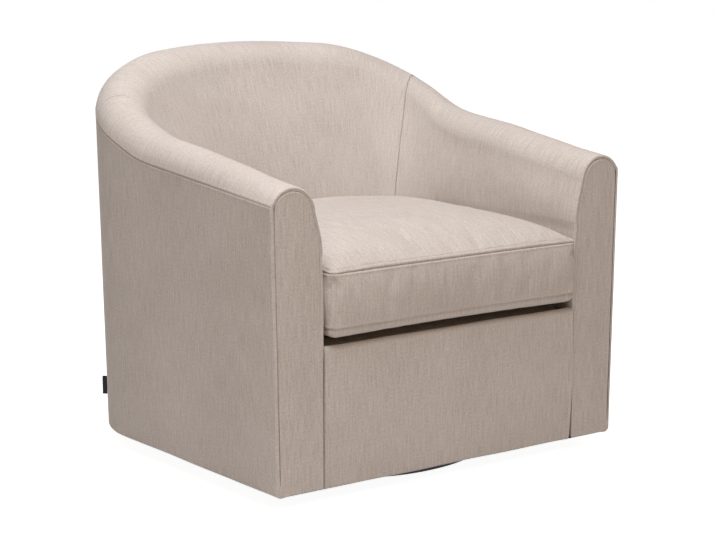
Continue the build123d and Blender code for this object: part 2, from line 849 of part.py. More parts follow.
def underside_nodes():
    """Dust cover under the frame, its staples, and the blank tag in the side seam."""
    plan = tub.inset(frame_inset + shell_gap).outline(front_y + facing_thickness + fit_gap)
    cover_bottom = frame_floor - dust_cover_thickness
    hole = ring_board(outer_ring_radius + ring_width + dust_hole_margin, cover_bottom, dust_cover_thickness)
    rail_x = panel_inside_x - side_rail_width / 2
    side_y = spaced(board_back_y + post_depth, rear_frame_y - bearer_width, staples_per_side)
    crown = Box(staple_width, staple_length, staple_thickness)
    staple_z = cover_bottom - staple_thickness / 2
    sides = [Pos(x, y, staple_z) * crown for x in (-rail_x, rail_x) for y in side_y]
    front_x = spaced(-rail_x + post_width, rail_x - post_width, staples_per_side)
    front_row = board_back_y + front_rail_thickness / 2
    front = [Pos(x, front_row, staple_z) * Rot(0, 0, 90) * crown for x in front_x]
    rear_arch = tub.inset((back_rail_inset + back_frame_inset) / 2)
    bearings = spaced(tub.turn, pi - tub.turn, staples_per_side)
    spots = [(rear_arch.back * cos(bearing), rear_arch.back * sin(bearing), bearing) for bearing in bearings]
    centre_y = rear_arch.back_centre_y
    rear = [Pos(x, centre_y + y, staple_z) * Rot(0, 0, degrees(turn)) * crown for x, y, turn in spots]
    return {
        "dust_cover": upright(plan, cover_bottom, dust_cover_thickness) - hole,
        "dust_cover_staples": sides + front + rear,
        "side_tag": side_tag(),
    }


def side_tag():
    """Blank folded tag that stands out of the left side seam."""
    cut = Slice(split_run, -1)
    wall_w = cut.wall(tag_bottom_height + tag_height)
    root = cut.place((wall_w - fit_gap - tag_reach / 2, tag_bottom_height))
    turn = degrees(atan2(cut.heading[1], -cut.heading[0]))
    tag = Box(tag_reach, tag_thickness, tag_height)
    return Pos(root.X, root.Y, tag_bottom_height + tag_height / 2) * Rot(0, 0, turn) * tag


def cushion_wire(inset, height):
    """Cushion plan at a height, drawn in all round by an inset."""
    plan = seat.inset(cushion_gap + inset)
    return Pos(0, 0, height) * plan.outline(front_y - cushion_proud + inset, cushion_front_draw)


def dome(run, rise, under):
    """Insets and rises of a crown that bends over from a seam, some way under its surface."""
    radius = (run ** 2 + rise ** 2) / (2 * rise)
    widest = asin(run / radius)
    angles = [widest * share for share in (1.0, 0.7, 0.35, 0.0)]
    level = rise - under
    return [(run - radius * sin(a) + under, level * (rise - radius + radius * cos(a)) / rise) for a in angles]


def cushion_top(under, start):
    """Crowned upper part of the cushion."""
    steps = dome(crown_run, crown_rise, under)
    return Solid.make_loft([cushion_wire(inset, start + rise) for inset, rise in steps])


def cushion_bottom(under, start):
    """Lower part of the cushion, flat where it rests on the deck."""
    drop = cushion_bottom_seam_height - deck_height - rest_gap
    steps = dome(underside_run, drop, under)
    return Solid.make_loft([cushion_wire(inset, start - fall) for inset, fall in steps])


def cushion_side(under, low, high):
    """Boxing part of the cushion, swollen a little between its seams."""
    middle = (low + high) / 2
    levels = [(under, low), (under - boxing_bulge, middle), (under, high)]
    return Solid.make_loft([cushion_wire(inset, height) for inset, height in levels])


def cushion_nodes():
    """Foam core and the three sewn panels round it."""
    low = cushion_bottom_seam_height
    high = cushion_top_seam_height
    half_gap = seam_gap / 2
    under = cover_thickness
    core = cover_thickness + fit_gap
    top = cushion_top(0.0, high + half_gap) - cushion_top(under, high + half_gap)
    bottom = cushion_bottom(0.0, low - half_gap) - cushion_bottom(under, low - half_gap)
    boxing = cushion_side(0.0, low + half_gap, high - half_gap) - cushion_side(under, low + half_gap, high - half_gap)
    foam = cushion_side(core, low, high) + cushion_top(core, high) + cushion_bottom(core, low)
    return {
        "cushion_foam": foam,
        "cushion_top_panel": top,
        "cushion_boxing": boxing,
        "cushion_bottom_panel": bottom,
    }


def zip_arc(inner, thickness, height, start, end, middle_z):
    """Curved bar round the back of the cushion, between two bearings in degrees."""
    centre = (0.0, seat.back_centre_y)
    outer = inner + thickness
    middle = (start + end) / 2
    at = lambda radius, angle: around(centre, radius, radians(angle))
    plan = Wire([
        ThreePointArc(at(inner, start), at(inner, middle), at(inner, end)),
        Line(at(inner, end), at(outer, end)),
        ThreePointArc(at(outer, end), at(outer, middle), at(outer, start)),
        Line(at(outer, start), at(inner, start)),
    ])
    return upright(plan, middle_z - height / 2, height)


def zip_nodes():
    """Zip along the back of the boxing, and the slider that runs on it."""
    middle_z = (cushion_bottom_seam_height + cushion_top_seam_height) / 2
    tape_in = seat_back_radius - cushion_gap + boxing_bulge + fit_gap
    coil_in = tape_in + zip_tape_thickness
    slider_in = coil_in + zip_coil_thickness + zip_gap
    start = 90 - zip_span / 2
    end = 90 + zip_span / 2
    tape = zip_arc(tape_in, zip_tape_thickness, zip_height, start, end, middle_z)
    coil = zip_arc(coil_in, zip_coil_thickness, zip_coil_height, start, end, middle_z)
    half_slider = degrees(slider_length / 2 / slider_in)
    half_pull = degrees(pull_width / 2 / slider_in)
    parked = 90 - slider_parked
    body = zip_arc(slider_in, slider_thickness, slider_height, parked - half_slider, parked + half_slider, middle_z)
    pull_z = middle_z - slider_height / 2 - pull_length / 2
    pull = zip_arc(slider_in, pull_thickness, pull_length, parked - half_pull, parked + half_pull, pull_z)
    return {
        "cushion_zip": tape + coil,
        "zip_slider": body + pull,
    }


def write_nodes(nodes):
    """One file for each named piece."""
    os.makedirs("parts", exist_ok=True)
    for name, piece in nodes.items():
        pieces = piece if isinstance(piece, list) else [piece]
        solids = [solid for item in pieces for solid in item.solids()]
        shape = solids[0] if len(solids) == 1 else Compound(solids)
        export_step(shape, f"parts/{name}.step")


def main():
    nodes = {}
    makers = (
        base_nodes, cage_nodes, turning_nodes, rail_nodes, panel_nodes, back_frame_nodes, spring_nodes,
        deck_nodes, apron_nodes, soft_wall_nodes, underside_nodes, cushion_nodes, zip_nodes,
    )
    for maker in makers:
        nodes.update(maker())
    write_nodes(nodes)
    print(len(nodes), "pieces")


main()
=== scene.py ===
import json
import bmesh
import bpy
import numpy as np
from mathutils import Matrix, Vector


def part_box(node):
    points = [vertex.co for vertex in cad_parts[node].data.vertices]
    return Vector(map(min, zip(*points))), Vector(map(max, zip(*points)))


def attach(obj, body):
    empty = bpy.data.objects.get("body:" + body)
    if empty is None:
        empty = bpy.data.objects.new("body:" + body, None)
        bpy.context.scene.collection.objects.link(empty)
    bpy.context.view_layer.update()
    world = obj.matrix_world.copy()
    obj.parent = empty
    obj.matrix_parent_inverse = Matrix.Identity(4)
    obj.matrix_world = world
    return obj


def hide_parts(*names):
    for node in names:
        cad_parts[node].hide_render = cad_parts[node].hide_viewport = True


# Swivel tub chair: the sewn and padded pieces, the finishes, the light and the camera
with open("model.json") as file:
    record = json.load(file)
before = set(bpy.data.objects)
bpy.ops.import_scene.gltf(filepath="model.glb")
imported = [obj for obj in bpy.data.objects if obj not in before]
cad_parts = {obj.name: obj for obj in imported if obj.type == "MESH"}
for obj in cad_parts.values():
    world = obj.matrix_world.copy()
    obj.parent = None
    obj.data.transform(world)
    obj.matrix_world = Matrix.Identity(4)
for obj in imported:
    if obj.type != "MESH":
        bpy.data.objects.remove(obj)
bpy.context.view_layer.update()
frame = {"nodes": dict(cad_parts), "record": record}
mm = 0.001  # shapes are worked out in millimetres and put into the meshes in metres
pi = np.pi


# Small helpers
def ease(share):
    held = np.clip(share, 0, 1)
    return held * held * (3 - 2 * held)


def lengths(points, axis):
    # distance run along one axis of a grid of points, from its first row
    step = np.linalg.norm(np.diff(points, axis=axis), axis=-1)
    start = np.zeros_like(np.take(step, [0], axis=axis))
    return np.concatenate([start, np.cumsum(step, axis=axis)], axis=axis)


def normals(grid):
    # cross product of the two directions of a grid of points, as unit vectors
    cross = np.cross(np.gradient(grid, axis=0), np.gradient(grid, axis=1))
    return cross / np.maximum(np.linalg.norm(cross, axis=-1, keepdims=True), 1e-9)


sewnSteps = np.array([0, .35, .8, 1.3, 1.9, 2.6, 3.4, 4.4, 5.8, 7.8, 10.5, 14])  # crowded rows beside a seam


def spread(first, last, step, low=True, high=True):
    # values from first to last about one step apart, crowded beside the ends that are sewn
    start = first + sewnSteps if low else np.array([first])
    end = last - sewnSteps[::-1] if high else np.array([last])
    count = max(2, int(np.ceil((end[0] - start[-1]) / step)) + 1)
    return np.concatenate([start, np.linspace(start[-1], end[0], count)[1:-1], end])


def gridFaces(rows, columns, closed=False, start=0):
    # four-cornered faces of a grid; closed joins its last column to its first
    i, j = np.meshgrid(np.arange(rows - 1), np.arange(columns if closed else columns - 1), indexing="ij")
    here = i * columns + j
    beside = i * columns + (j + 1) % columns
    return (start + np.stack([here, beside, beside + columns, here + columns], -1)).reshape(-1, 4)


def meshPiece(name, points, faces, uv=None, caps=()):
    mesh = bpy.data.meshes.new(name)
    allFaces = faces.tolist() + [list(map(int, cap)) for cap in caps]
    mesh.from_pydata((np.asarray(points) * mm).tolist(), [], allFaces)
    shell = bmesh.new()
    shell.from_mesh(mesh)
    bmesh.ops.recalc_face_normals(shell, faces=shell.faces[:])
    shell.to_mesh(mesh)
    shell.free()
    mesh.polygons.foreach_set("use_smooth", np.ones(len(mesh.polygons), bool))
    if uv is not None:
        corner = np.empty(len(mesh.loops), np.int32)
        mesh.loops.foreach_get("vertex_index", corner)
        layer = mesh.uv_layers.new(name="cloth")
        layer.data.foreach_set("uv", (np.asarray(uv) * mm)[corner].astype(np.float32).ravel())
    mesh.update()
    piece = bpy.data.objects.new(name, mesh)
    bpy.context.scene.collection.objects.link(piece)
    return piece


def loftPiece(name, loops, uv=None):
    # closed loops carried along a path, one loop a row, with a flat cap on each end
    rows, around = loops.shape[:2]
    caps = [np.arange(around)[::-1], np.arange((rows - 1) * around, rows * around)]
    flatUv = None if uv is None else uv.reshape(-1, 2)
    return meshPiece(name, loops.reshape(-1, 3), gridFaces(rows, around, closed=True), flatUv, caps)


def ringPiece(name, loops, uv=None):
    # closed loops carried round a closed path
    around, section = loops.shape[:2]
    faces = gridFaces(around + 1, section, closed=True) % (around * section)
    return meshPiece(name, loops.reshape(-1, 3), faces, None if uv is None else uv.reshape(-1, 2))


def beadPiece(name, middle, lengthwise, sideways, length, thick):
    # many small capsules at once: six-sided rings that close towards both ends
    upright = np.cross(lengthwise, sideways)
    reach = length * np.array([-.5, -.42, -.2, .2, .42, .5])
    girth = thick / 2 * np.array([.2, .75, 1, 1, .75, .2])
    angle = np.arange(6) * pi / 3
    flat = np.stack(np.broadcast_arrays(reach[:, None], girth[:, None] * np.cos(angle),
                                        girth[:, None] * np.sin(angle)), -1)
    axes = np.stack([lengthwise, sideways, upright], 1)
    points = middle[:, None, None] + np.einsum("rak,bkx->brax", flat, axes)
    start = 36 * np.arange(len(middle))
    faces = (gridFaces(6, 6, closed=True)[None] + start[:, None, None]).reshape(-1, 4)
    caps = np.concatenate([start[:, None] + np.arange(6)[::-1], start[:, None] + 30 + np.arange(6)])
    return meshPiece(name, points.reshape(-1, 3), faces, None, caps)


def dress(piece, body, slot, *nodes, material=None):
    piece.data.materials.append(material or finish[slot])
    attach(piece, body)
    if nodes:
        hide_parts(*nodes)
    return piece


def foldedEdge(edge, depth, width, ridge=0.0):
    # a cloth edge turned in at a seam: an elliptic fall of depth over width, then a low ridge on its hem
    fold = 1 - np.sqrt(1 - np.clip(1 - edge / width, 0, 1) ** 2)
    return -depth * fold + ridge * np.exp(-((edge - 2 * width) / width) ** 2)


def pucker(run, edge, height, pitch, reach):
    # small waves along a seam, unevenly spaced, that die out away from it
    return height * np.sin(2 * pi * run / pitch + 1.7 * np.sin(run / 41)) * np.exp(-edge / reach)


def softSwell(points, height, size):
    # slow unevenness of hand-padded foam: three slanted sine waves of about one size
    x, y, z = np.moveaxis(points, -1, 0) * (2 * pi / size)
    wave = np.sin(x + .6 * z + .3) * np.sin(.9 * y - .5 * z + 1.1) + .6 * np.sin(1.7 * y + 1.3 * z + .4 * x)
    return height * wave / 1.6


def sewnLift(face, edges, form):
    # slow swell kept clear of the sewn edges, with each edge (kind, distance from it, run along it) folded in
    swell = softSwell(face, form["swell"], form["swellSize"])
    folds = 0
    for kind, edge, run in edges:
        swell = swell * ease(edge / form["swellEdge"])
        folds = folds + foldedEdge(edge, *form[kind]) + pucker(run, edge, *form["pucker"])
    return swell + folds


# Materials
def hexColour(code):
    tone = np.array([int(code[k:k + 2], 16) for k in (0, 2, 4)]) / 255
    linear = np.where(tone <= .04045, tone / 12.92, ((tone + .055) / 1.055) ** 2.4)
    return (*linear.tolist(), 1.0)


def addNode(tree, kind, inputs=None, **settings):
    node = tree.nodes.new(kind)
    for key, value in settings.items():
        setattr(node, key, value)
    for key, value in (inputs or {}).items():
        if isinstance(value, bpy.types.NodeSocket):
            tree.links.new(value, node.inputs[key])
        else:
            node.inputs[key].default_value = value
    return node


def newMaterial(name, **shader):
    material = bpy.data.materials.new(name)
    material.use_nodes = True
    surface = material.node_tree.nodes["Principled BSDF"]
    for key, value in shader.items():
        surface.inputs[key.replace("_", " ")].default_value = value
    return material, material.node_tree, surface


def toneAndRelief(tree, surface, tone, dark, light, height, strength, depth):
    # base colour between two tones, and a relief of so many millimetres
    colour = addNode(tree, "ShaderNodeMix", {0: tone, 6: hexColour(dark), 7: hexColour(light)},
                     data_type="RGBA")
    relief = addNode(tree, "ShaderNodeBump", {"Height": height, "Strength": strength, "Distance": depth * mm})
    tree.links.new(colour.outputs[2], surface.inputs["Base Color"])
    tree.links.new(relief.outputs[0], surface.inputs["Normal"])


def linenWeave():
    # Polyester linen-look upholstery, plain woven from slub yarn: matt, with fine ribs and streaks of uneven
    # yarn. Its threads are about 0.9 mm apart; they are drawn at 1.8 mm, as finer ones vanish in the picture.
    cloth = {"thread": 1.8, "slubAcross": 3.0, "slubLength": 42.0, "patch": 160.0, "weftShare": .18,
             "patchShare": .22, "fleckShare": .32, "weaveShare": .12, "toneFrom": .34, "toneTo": .67,
             "dark": "A69B91", "light": "C6BCB2", "bump": 0.35, "depth": .5}
    material, tree, surface = newMaterial("linenLookWeave", Roughness=.93, Sheen_Weight=.18,
                                          Sheen_Roughness=.45)
    surface.inputs["Specular IOR Level"].default_value = .18
    place = addNode(tree, "ShaderNodeUVMap", uv_map="cloth").outputs["UV"]
    perMetre = 1 / mm
    threads = addNode(tree, "ShaderNodeVectorMath", {0: place, 1: (perMetre / cloth["thread"],) * 3},
                      operation="MULTIPLY")
    axes = addNode(tree, "ShaderNodeSeparateXYZ", {0: threads.outputs[0]})
    half = [addNode(tree, "ShaderNodeMath", {0: axes.outputs[k], 1: pi}, operation="MULTIPLY") for k in "XY"]
    wave = [addNode(tree, "ShaderNodeMath", {0: node.outputs[0]}, operation="SINE").outputs[0] for node in half]
    crown = [addNode(tree, "ShaderNodeMath", {0: socket}, operation="ABSOLUTE").outputs[0] for socket in wave]
    over = addNode(tree, "ShaderNodeMath", {0: wave[0], 1: wave[1]}, operation="MULTIPLY")
    overShare = addNode(tree, "ShaderNodeMapRange", {"Value": over.outputs[0], "From Min": -.4, "From Max": .4},
                        interpolation_type="SMOOTHSTEP")
    weave = addNode(tree, "ShaderNodeMix", {0: overShare.outputs[0], 2: crown[1], 3: crown[0]},
                    data_type="FLOAT")
    across, lengthwise = perMetre / cloth["slubAcross"], perMetre / cloth["slubLength"]
    slubs = []
    for scale in ((across, lengthwise, 1), (lengthwise, across, 1)):
        turned = addNode(tree, "ShaderNodeVectorMath", {0: place, 1: scale}, operation="MULTIPLY")
        slub = addNode(tree, "ShaderNodeTexNoise", {"Vector": turned.outputs[0], "Scale": 1.0, "Detail": 3.0,
                                                    "Roughness": .6}, noise_dimensions="2D")
        slubs.append(slub.outputs["Fac"])
    yarn = addNode(tree, "ShaderNodeMix", {0: cloth["weftShare"], 2: slubs[0], 3: slubs[1]}, data_type="FLOAT")
    patch = addNode(tree, "ShaderNodeTexNoise", {"Vector": place, "Scale": perMetre / cloth["patch"],
                                                 "Detail": 2.0}, noise_dimensions="2D")
    fleck = addNode(tree, "ShaderNodeTexNoise", {"Vector": place, "Scale": perMetre / (2 * cloth["thread"]),
                                                 "Detail": 1.0}, noise_dimensions="2D")
    blend = yarn.outputs[0]
    for share, socket in (("patchShare", patch.outputs["Fac"]), ("fleckShare", fleck.outputs["Fac"]),
                          ("weaveShare", weave.outputs[0])):
        mixed = addNode(tree, "ShaderNodeMix", {0: cloth[share], 2: blend, 3: socket}, data_type="FLOAT")
        blend = mixed.outputs[0]
    tone = addNode(tree, "ShaderNodeMapRange", {"Value": blend, "From Min": cloth["toneFrom"],
                                                "From Max": cloth["toneTo"]})
    height = addNode(tree, "ShaderNodeMath", {0: weave.outputs[0], 1: yarn.outputs[0]}, operation="ADD")
    toneAndRelief(tree, surface, tone.outputs[0], cloth["dark"], cloth["light"], height.outputs[0],
                  cloth["bump"], cloth["depth"])
    return material


def plainFinish(name, dark, light, grain, roughness, bump=.2, depth=.2, metallic=0.0, **shader):
    # a finish whose tone and roughness wander over a grain of (x, y, z) millimetres in the object's own frame
    material, tree, surface = newMaterial(name, Metallic=metallic, **shader)
    place = addNode(tree, "ShaderNodeTexCoord").outputs["Object"]
    scale = tuple(1 / (size * mm) for size in grain)
    stretched = addNode(tree, "ShaderNodeVectorMath", {0: place, 1: scale}, operation="MULTIPLY")
    noise = addNode(tree, "ShaderNodeTexNoise", {"Vector": stretched.outputs[0], "Scale": 1.0, "Detail": 4.0})
    tone = addNode(tree, "ShaderNodeMapRange", {"Value": noise.outputs["Fac"], "From Min": .3, "From Max": .7})
    rough = addNode(tree, "ShaderNodeMapRange", {"Value": noise.outputs["Fac"], "To Min": roughness[0],
                                                 "To Max": roughness[1]})
    tree.links.new(rough.outputs[0], surface.inputs["Roughness"])
    toneAndRelief(tree, surface, tone.outputs[0], dark, light, noise.outputs["Fac"], bump, depth)
    return material


def wovenTape(name, dark, light, thread):
    # narrow woven tape: ribs across its length from the threads, on the piece's own cloth map
    material, tree, surface = newMaterial(name, Roughness=.85, Sheen_Weight=.1)
    place = addNode(tree, "ShaderNodeUVMap", uv_map="cloth").outputs["UV"]
    scale = (pi / (thread * mm),) * 3
    scaled = addNode(tree, "ShaderNodeVectorMath", {0: place, 1: scale}, operation="MULTIPLY")
    axes = addNode(tree, "ShaderNodeSeparateXYZ", {0: scaled.outputs[0]})
    ribs = [addNode(tree, "ShaderNodeMath", {0: axes.outputs[k]}, operation="SINE").outputs[0] for k in "XY"]
    weave = addNode(tree, "ShaderNodeMath", {0: ribs[0], 1: ribs[1]}, operation="MULTIPLY")
    tone = addNode(tree, "ShaderNodeMapRange", {"Value": weave.outputs[0], "From Min": -1.0})
    toneAndRelief(tree, surface, tone.outputs[0], dark, light, weave.outputs[0], .4, .2)
    return material


finish = {
    "upholstery": linenWeave(),
    # moulded polyurethane foam, cream, with open cells about 1 mm across
    "foam": plainFinish("polyurethaneFoam", "D9CFAE", "EFE8CF", (1.2, 1.2, 1.2), (.9, 1), .6, .6),
    # plain polyester lining under the cushion, faint cross threads
    "platform_cloth": wovenTape("polyesterLining", "867C73", "978D83", 1.2),
    # spunbonded polypropylene, black, with a pressed dot about 1.5 mm
    "dust_cloth": plainFinish("spunbondPolypropylene", "141414", "262626", (1.5, 1.5, 1.5), (.75, .95), .5, .3),
    # pressed wool felt, fibres about 0.8 mm
    "felt": plainFinish("pressedFelt", "101010", "242322", (.8, .8, .8), (.9, 1), .7, .4),
    # fibreboard with satin black lacquer, roller texture about 4 mm
    "black_board": plainFinish("satinBlackLacquer", "070707", "0D0D0D", (4, 4, 4), (.45, .6), .12, .1),
    # rotary-cut birch plywood, wide pale figure along Y
    "plywood": plainFinish("birchPlywood", "C29B6A", "DDBD8D", (18, 160, 22), (.55, .7), .2, .2),
    # planed beech with short brown flecks
    "beech": plainFinish("planedBeech", "B98A5B", "D2A878", (7, 60, 7), (.5, .65), .2, .15),
    "webbing": wovenTape("elasticWebbing", "2A2522", "4A423C", 2.4),
    # aluminium sheet as rolled, fine streaks round the ring
    "bearing_metal": plainFinish("rolledAluminium", "B4B5B7", "CBCCCE", (2, 2, 30), (.28, .42), .1, .05, 1.0),
    # zinc-plated steel, bright with a cloudy tone about 6 mm
    "steel": plainFinish("zincPlatedSteel", "9EA1A4", "C2C5C8", (6, 6, 6), (.25, .4), .1, .05, 1.0),
    # moulded white acetal
    "cage_plastic": plainFinish("mouldedAcetal", "DAD9D2", "E8E7E1", (9, 9, 9), (.35, .5), .08, .05),
    "tag": wovenTape("blackWovenTape", "0B0B0B", "1B1B1C", .9),
    "zip_tape": wovenTape("zipTape", "9A8E83", "B0A499", .8),
    # nickel-plated zinc casting, satin
    "zip_metal": plainFinish("satinNickel", "9A958C", "B8B3A9", (3, 3, 3), (.28, .42), .1, .05, 1.0),
}
# spun polyester sewing thread, a little darker than the cloth
sewingThread = plainFinish("polyesterThread", "8F8377", "A89B8F", (1, 1, 1), (.6, .8), .3, .1)
nylonCoil = plainFinish("nylonCoil", "A1958A", "B5A99D", (2, 2, 2), (.4, .55), .1, .05)


def dressFrame():
    # every solid that keeps its own shape gets the finish of its slot
    for part in frame["record"]["subparts"]:
        mesh = frame["nodes"][part["node"]].data
        mesh.materials.clear()
        mesh.materials.append(finish[part["material_slot"]])


dressFrame()
print("materials:", len(bpy.data.materials))


# Plan curves and the wall of the tub
def planCurve(half, depth, corner, back, front):
    # half of a tub's plan: a straight side, a corner arc and a back arc, each tangent to the next
    turn = np.arccos((half - corner) / (back - corner))
    backY = front + depth - back
    cornerY = backY + (back - corner) * np.sin(turn)
    straight = cornerY - front
    return {"half": half, "corner": corner, "back": back, "turn": turn, "cornerX": half - corner,
            "cornerY": cornerY, "backY": backY, "straight": straight, "cornerRun": corner * turn,
            "front": front, "length": straight + corner * turn + back * (pi / 2 - turn)}


facingLow = np.array(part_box("right_arm_facing")[0]) / mm
tubForm = {"half": 378.0, "depth": 737.0, "corner": 170.0, "back": 600.0, "flare": .02, "armSeam": 524.0,
           "armSlope": .08, "backSeam": 674.0, "crown": 16.0, "sweepStart": 385.0, "sweepLength": 416.0,
           "riseFront": 31.0, "rise": 44.5, "riseRun": 320.0, "crestInset": 44.0, "armRoll": 48.0,
           "backRoll": 65.0, "armShare": .57, "turnStart": 250.0, "seamGap": .1, "cover": 2.5, "facing": 6.0,
           "board": 15.0, "belly": 5.0}
seatForm = {"half": 280.0, "depth": 540.0, "corner": 160.0, "back": 500.0, "line": 401.0, "soften": 34.0}
frontY = float(facingLow[1])
bottomZ = float(facingLow[2])
hemZ = bottomZ - 1.6  # the cloth hangs a little below the frame
tuckZ = float(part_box("inside_back_cover")[0].z / mm)
deckZ = float(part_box("deck_cloth")[1].z / mm)
tub = planCurve(tubForm["half"], tubForm["depth"], tubForm["corner"], tubForm["back"], frontY)
seat = planCurve(seatForm["half"], seatForm["depth"], seatForm["corner"], seatForm["back"], frontY)
wholeRun = 2 * tub["length"]
splitRun = tub["straight"] + tubForm["armShare"] * tub["cornerRun"]


def curvePoint(curve, run):
    # point and facing angle at a run along the curve from the facing plane
    corner = (run - curve["straight"]) / curve["corner"]
    back = curve["turn"] + (run - curve["straight"] - curve["cornerRun"]) / curve["back"]
    onSide = run <= curve["straight"]
    onCorner = run <= curve["straight"] + curve["cornerRun"]
    angle = np.where(onSide, 0, np.where(onCorner, corner, back))
    x = np.where(onCorner, curve["cornerX"] + curve["corner"] * np.cos(angle), curve["back"] * np.cos(angle))
    roundY = np.where(onCorner, curve["cornerY"] + curve["corner"] * np.sin(angle),
                      curve["backY"] + curve["back"] * np.sin(angle))
    return x, np.where(onSide, curve["front"] + run, roundY), angle


def circleReach(x, y, hx, hy, cx, cy, radius):
    # distance to a circle along unit headings: the first root of the quadratic
    gapX, gapY = x - cx, y - cy
    ahead = gapX * hx + gapY * hy
    return -ahead - np.sqrt(np.maximum(ahead ** 2 - gapX ** 2 - gapY ** 2 + radius ** 2, 0))


def curveReach(curve, x, y, hx, hy):
    # distance from outside points to the curve along unit headings: its side, else its corner, else its back
    safeX = np.where(np.abs(hx) > 1e-9, hx, -1e-9)
    side = (curve["half"] - x) / safeX
    corner = circleReach(x, y, hx, hy, curve["cornerX"], curve["cornerY"], curve["corner"])
    cornerAngle = np.arctan2(y + corner * hy - curve["cornerY"], x + corner * hx - curve["cornerX"])
    back = circleReach(x, y, hx, hy, 0, curve["backY"], curve["back"])
    onSide = (np.abs(hx) > 1e-9) & (y + side * hy <= curve["cornerY"])
    return np.where(onSide, side, np.where(cornerAngle <= curve["turn"], corner, back))


def wallSlices(run):
    # upright slices through the tub's wall, from the right facing round the back to the left facing
    near = np.minimum(run, wholeRun - run)
    x, y, facing = curvePoint(tub, near)
    turned = pi / 2 * ease((near - tubForm["turnStart"]) / (tub["length"] - tubForm["turnStart"]))
    share = ease((near - tubForm["sweepStart"]) / tubForm["sweepLength"])
    armRise = tubForm["riseFront"]
    cut = {"run": run, "near": near, "side": np.where(run <= tub["length"], 1.0, -1.0), "x": x, "y": y,
           "hx": -np.cos(turned), "hy": -np.sin(turned), "share": share, "slant": np.cos(turned - facing),
           "seam": (tubForm["armSeam"] + tubForm["armSlope"] * near) * (1 - share) + tubForm["backSeam"] * share
           + tubForm["crown"] * ease((near - splitRun) / (tub["length"] - splitRun)),
           "lean": -tubForm["flare"] / np.cos(turned - facing),
           "rise": armRise + (tubForm["rise"] - armRise) * ease(near / tubForm["riseRun"])}
    cut["depth"] = curveReach(seat, x, y, cut["hx"], cut["hy"])
    return {key: value[:, None] for key, value in cut.items()}


def placed(cut, w, z):
    # points of the slices: w inwards from the outside, z up
    x = cut["side"] * (cut["x"] + cut["hx"] * w)
    return np.stack([x, cut["y"] + cut["hy"] * w, np.broadcast_to(z, w.shape)], -1)


def wallAt(cut, z):
    return cut["lean"] * (z - bottomZ)


def rollLine(cut):
    # The roll from the outside seam: an arc up to the crest, a second arc over it, a straight slope tangent to
    # that arc with a little belly, a soft bend at seat level and an upright end.
    inset = tubForm["crestInset"]
    crestW = wallAt(cut, cut["seam"]) + inset
    crestZ = cut["seam"] + cut["rise"]
    outer = (inset ** 2 + cut["rise"] ** 2) / (2 * cut["rise"])
    inner = tubForm["armRoll"] + (tubForm["backRoll"] - tubForm["armRoll"]) * cut["share"]
    first = pi - np.arcsin((cut["seam"] + tubForm["seamGap"] - crestZ + outer) / outer)
    gapW, gapZ = cut["depth"] - crestW, seatForm["line"] - crestZ + inner
    touch = np.arctan2(gapZ, gapW) + np.arccos(inner / np.hypot(gapW, gapZ))
    firstLength = ((first - pi / 2) * outer).max()
    outerShare = spread(0, firstLength, 5, high=False) / firstLength
    outerAngle = first + (pi / 2 - first) * outerShare
    innerAngle = pi / 2 + (touch - pi / 2) * np.linspace(0, 1, 19)[1:]
    touchW = crestW + inner * np.cos(touch)
    touchZ = crestZ - inner + inner * np.sin(touch)
    slopeLength = np.hypot(cut["depth"] - touchW, seatForm["line"] - touchZ)
    bendShare = 1 - seatForm["soften"] / slopeLength
    slope = bendShare * np.linspace(0, 1, 26)[1:]
    belly = tubForm["belly"] * (4 * slope * (1 - slope)) ** 2
    ends = (cut["depth"] - touchW, seatForm["line"] - touchZ)
    slopeW = touchW + ends[0] * slope - belly * ends[1] / slopeLength
    slopeZ = touchZ + ends[1] * slope + belly * ends[0] / slopeLength
    bend = np.linspace(0, 1, 9)[1:]
    bendFrom = (touchW + ends[0] * bendShare, touchZ + ends[1] * bendShare)
    lowZ = seatForm["line"] - seatForm["soften"]
    bendW = bendFrom[0] * (1 - bend) ** 2 + cut["depth"] * (1 - (1 - bend) ** 2)
    bendZ = bendFrom[1] * (1 - bend) ** 2 + seatForm["line"] * 2 * bend * (1 - bend) + lowZ * bend ** 2
    endZ = lowZ + (tuckZ - lowZ) * np.linspace(0, 1, 8)[1:] + 0 * cut["depth"]
    w = [crestW + outer * np.cos(outerAngle), crestW + inner * np.cos(innerAngle), slopeW, bendW,
         cut["depth"] + 0 * endZ]
    z = [crestZ - outer + outer * np.sin(outerAngle), crestZ - inner + inner * np.sin(innerAngle), slopeZ,
         bendZ, endZ]
    return np.concatenate(w, 1), np.concatenate(z, 1)


# Rolled arms and back
# joint, front and outside give the depth, width and ridge of an edge: sewn to the next pad, rolled over beside
# a facing, and above an outside cover
padForm = {"swell": .8, "swellSize": 240.0, "swellEdge": 40.0, "pucker": (.22, 17.0, 8.0),
           "joint": (2.8, 1.2, .5), "front": (4.5, 4.5, 0), "outside": (1.7, 2.0, .5), "slotDepth": 5.9,
           "armInset": 18.3, "backInset": 36.7, "ledge": 25.0, "gap": .4, "wall": 2.9, "lip": 7.0,
           "boardGap": .6, "insideLead": 40.0}
armStart = -.3  # where the rolled front edge of arm and cover begins, level with the facing's face


def splitRuns(split):
    # stations along an arm up to its seam with the back, and along the back between its two seams
    half = tubForm["seamGap"] / 2
    return spread(armStart, split - half, 9), spread(split + half, wholeRun - split - half, 9)


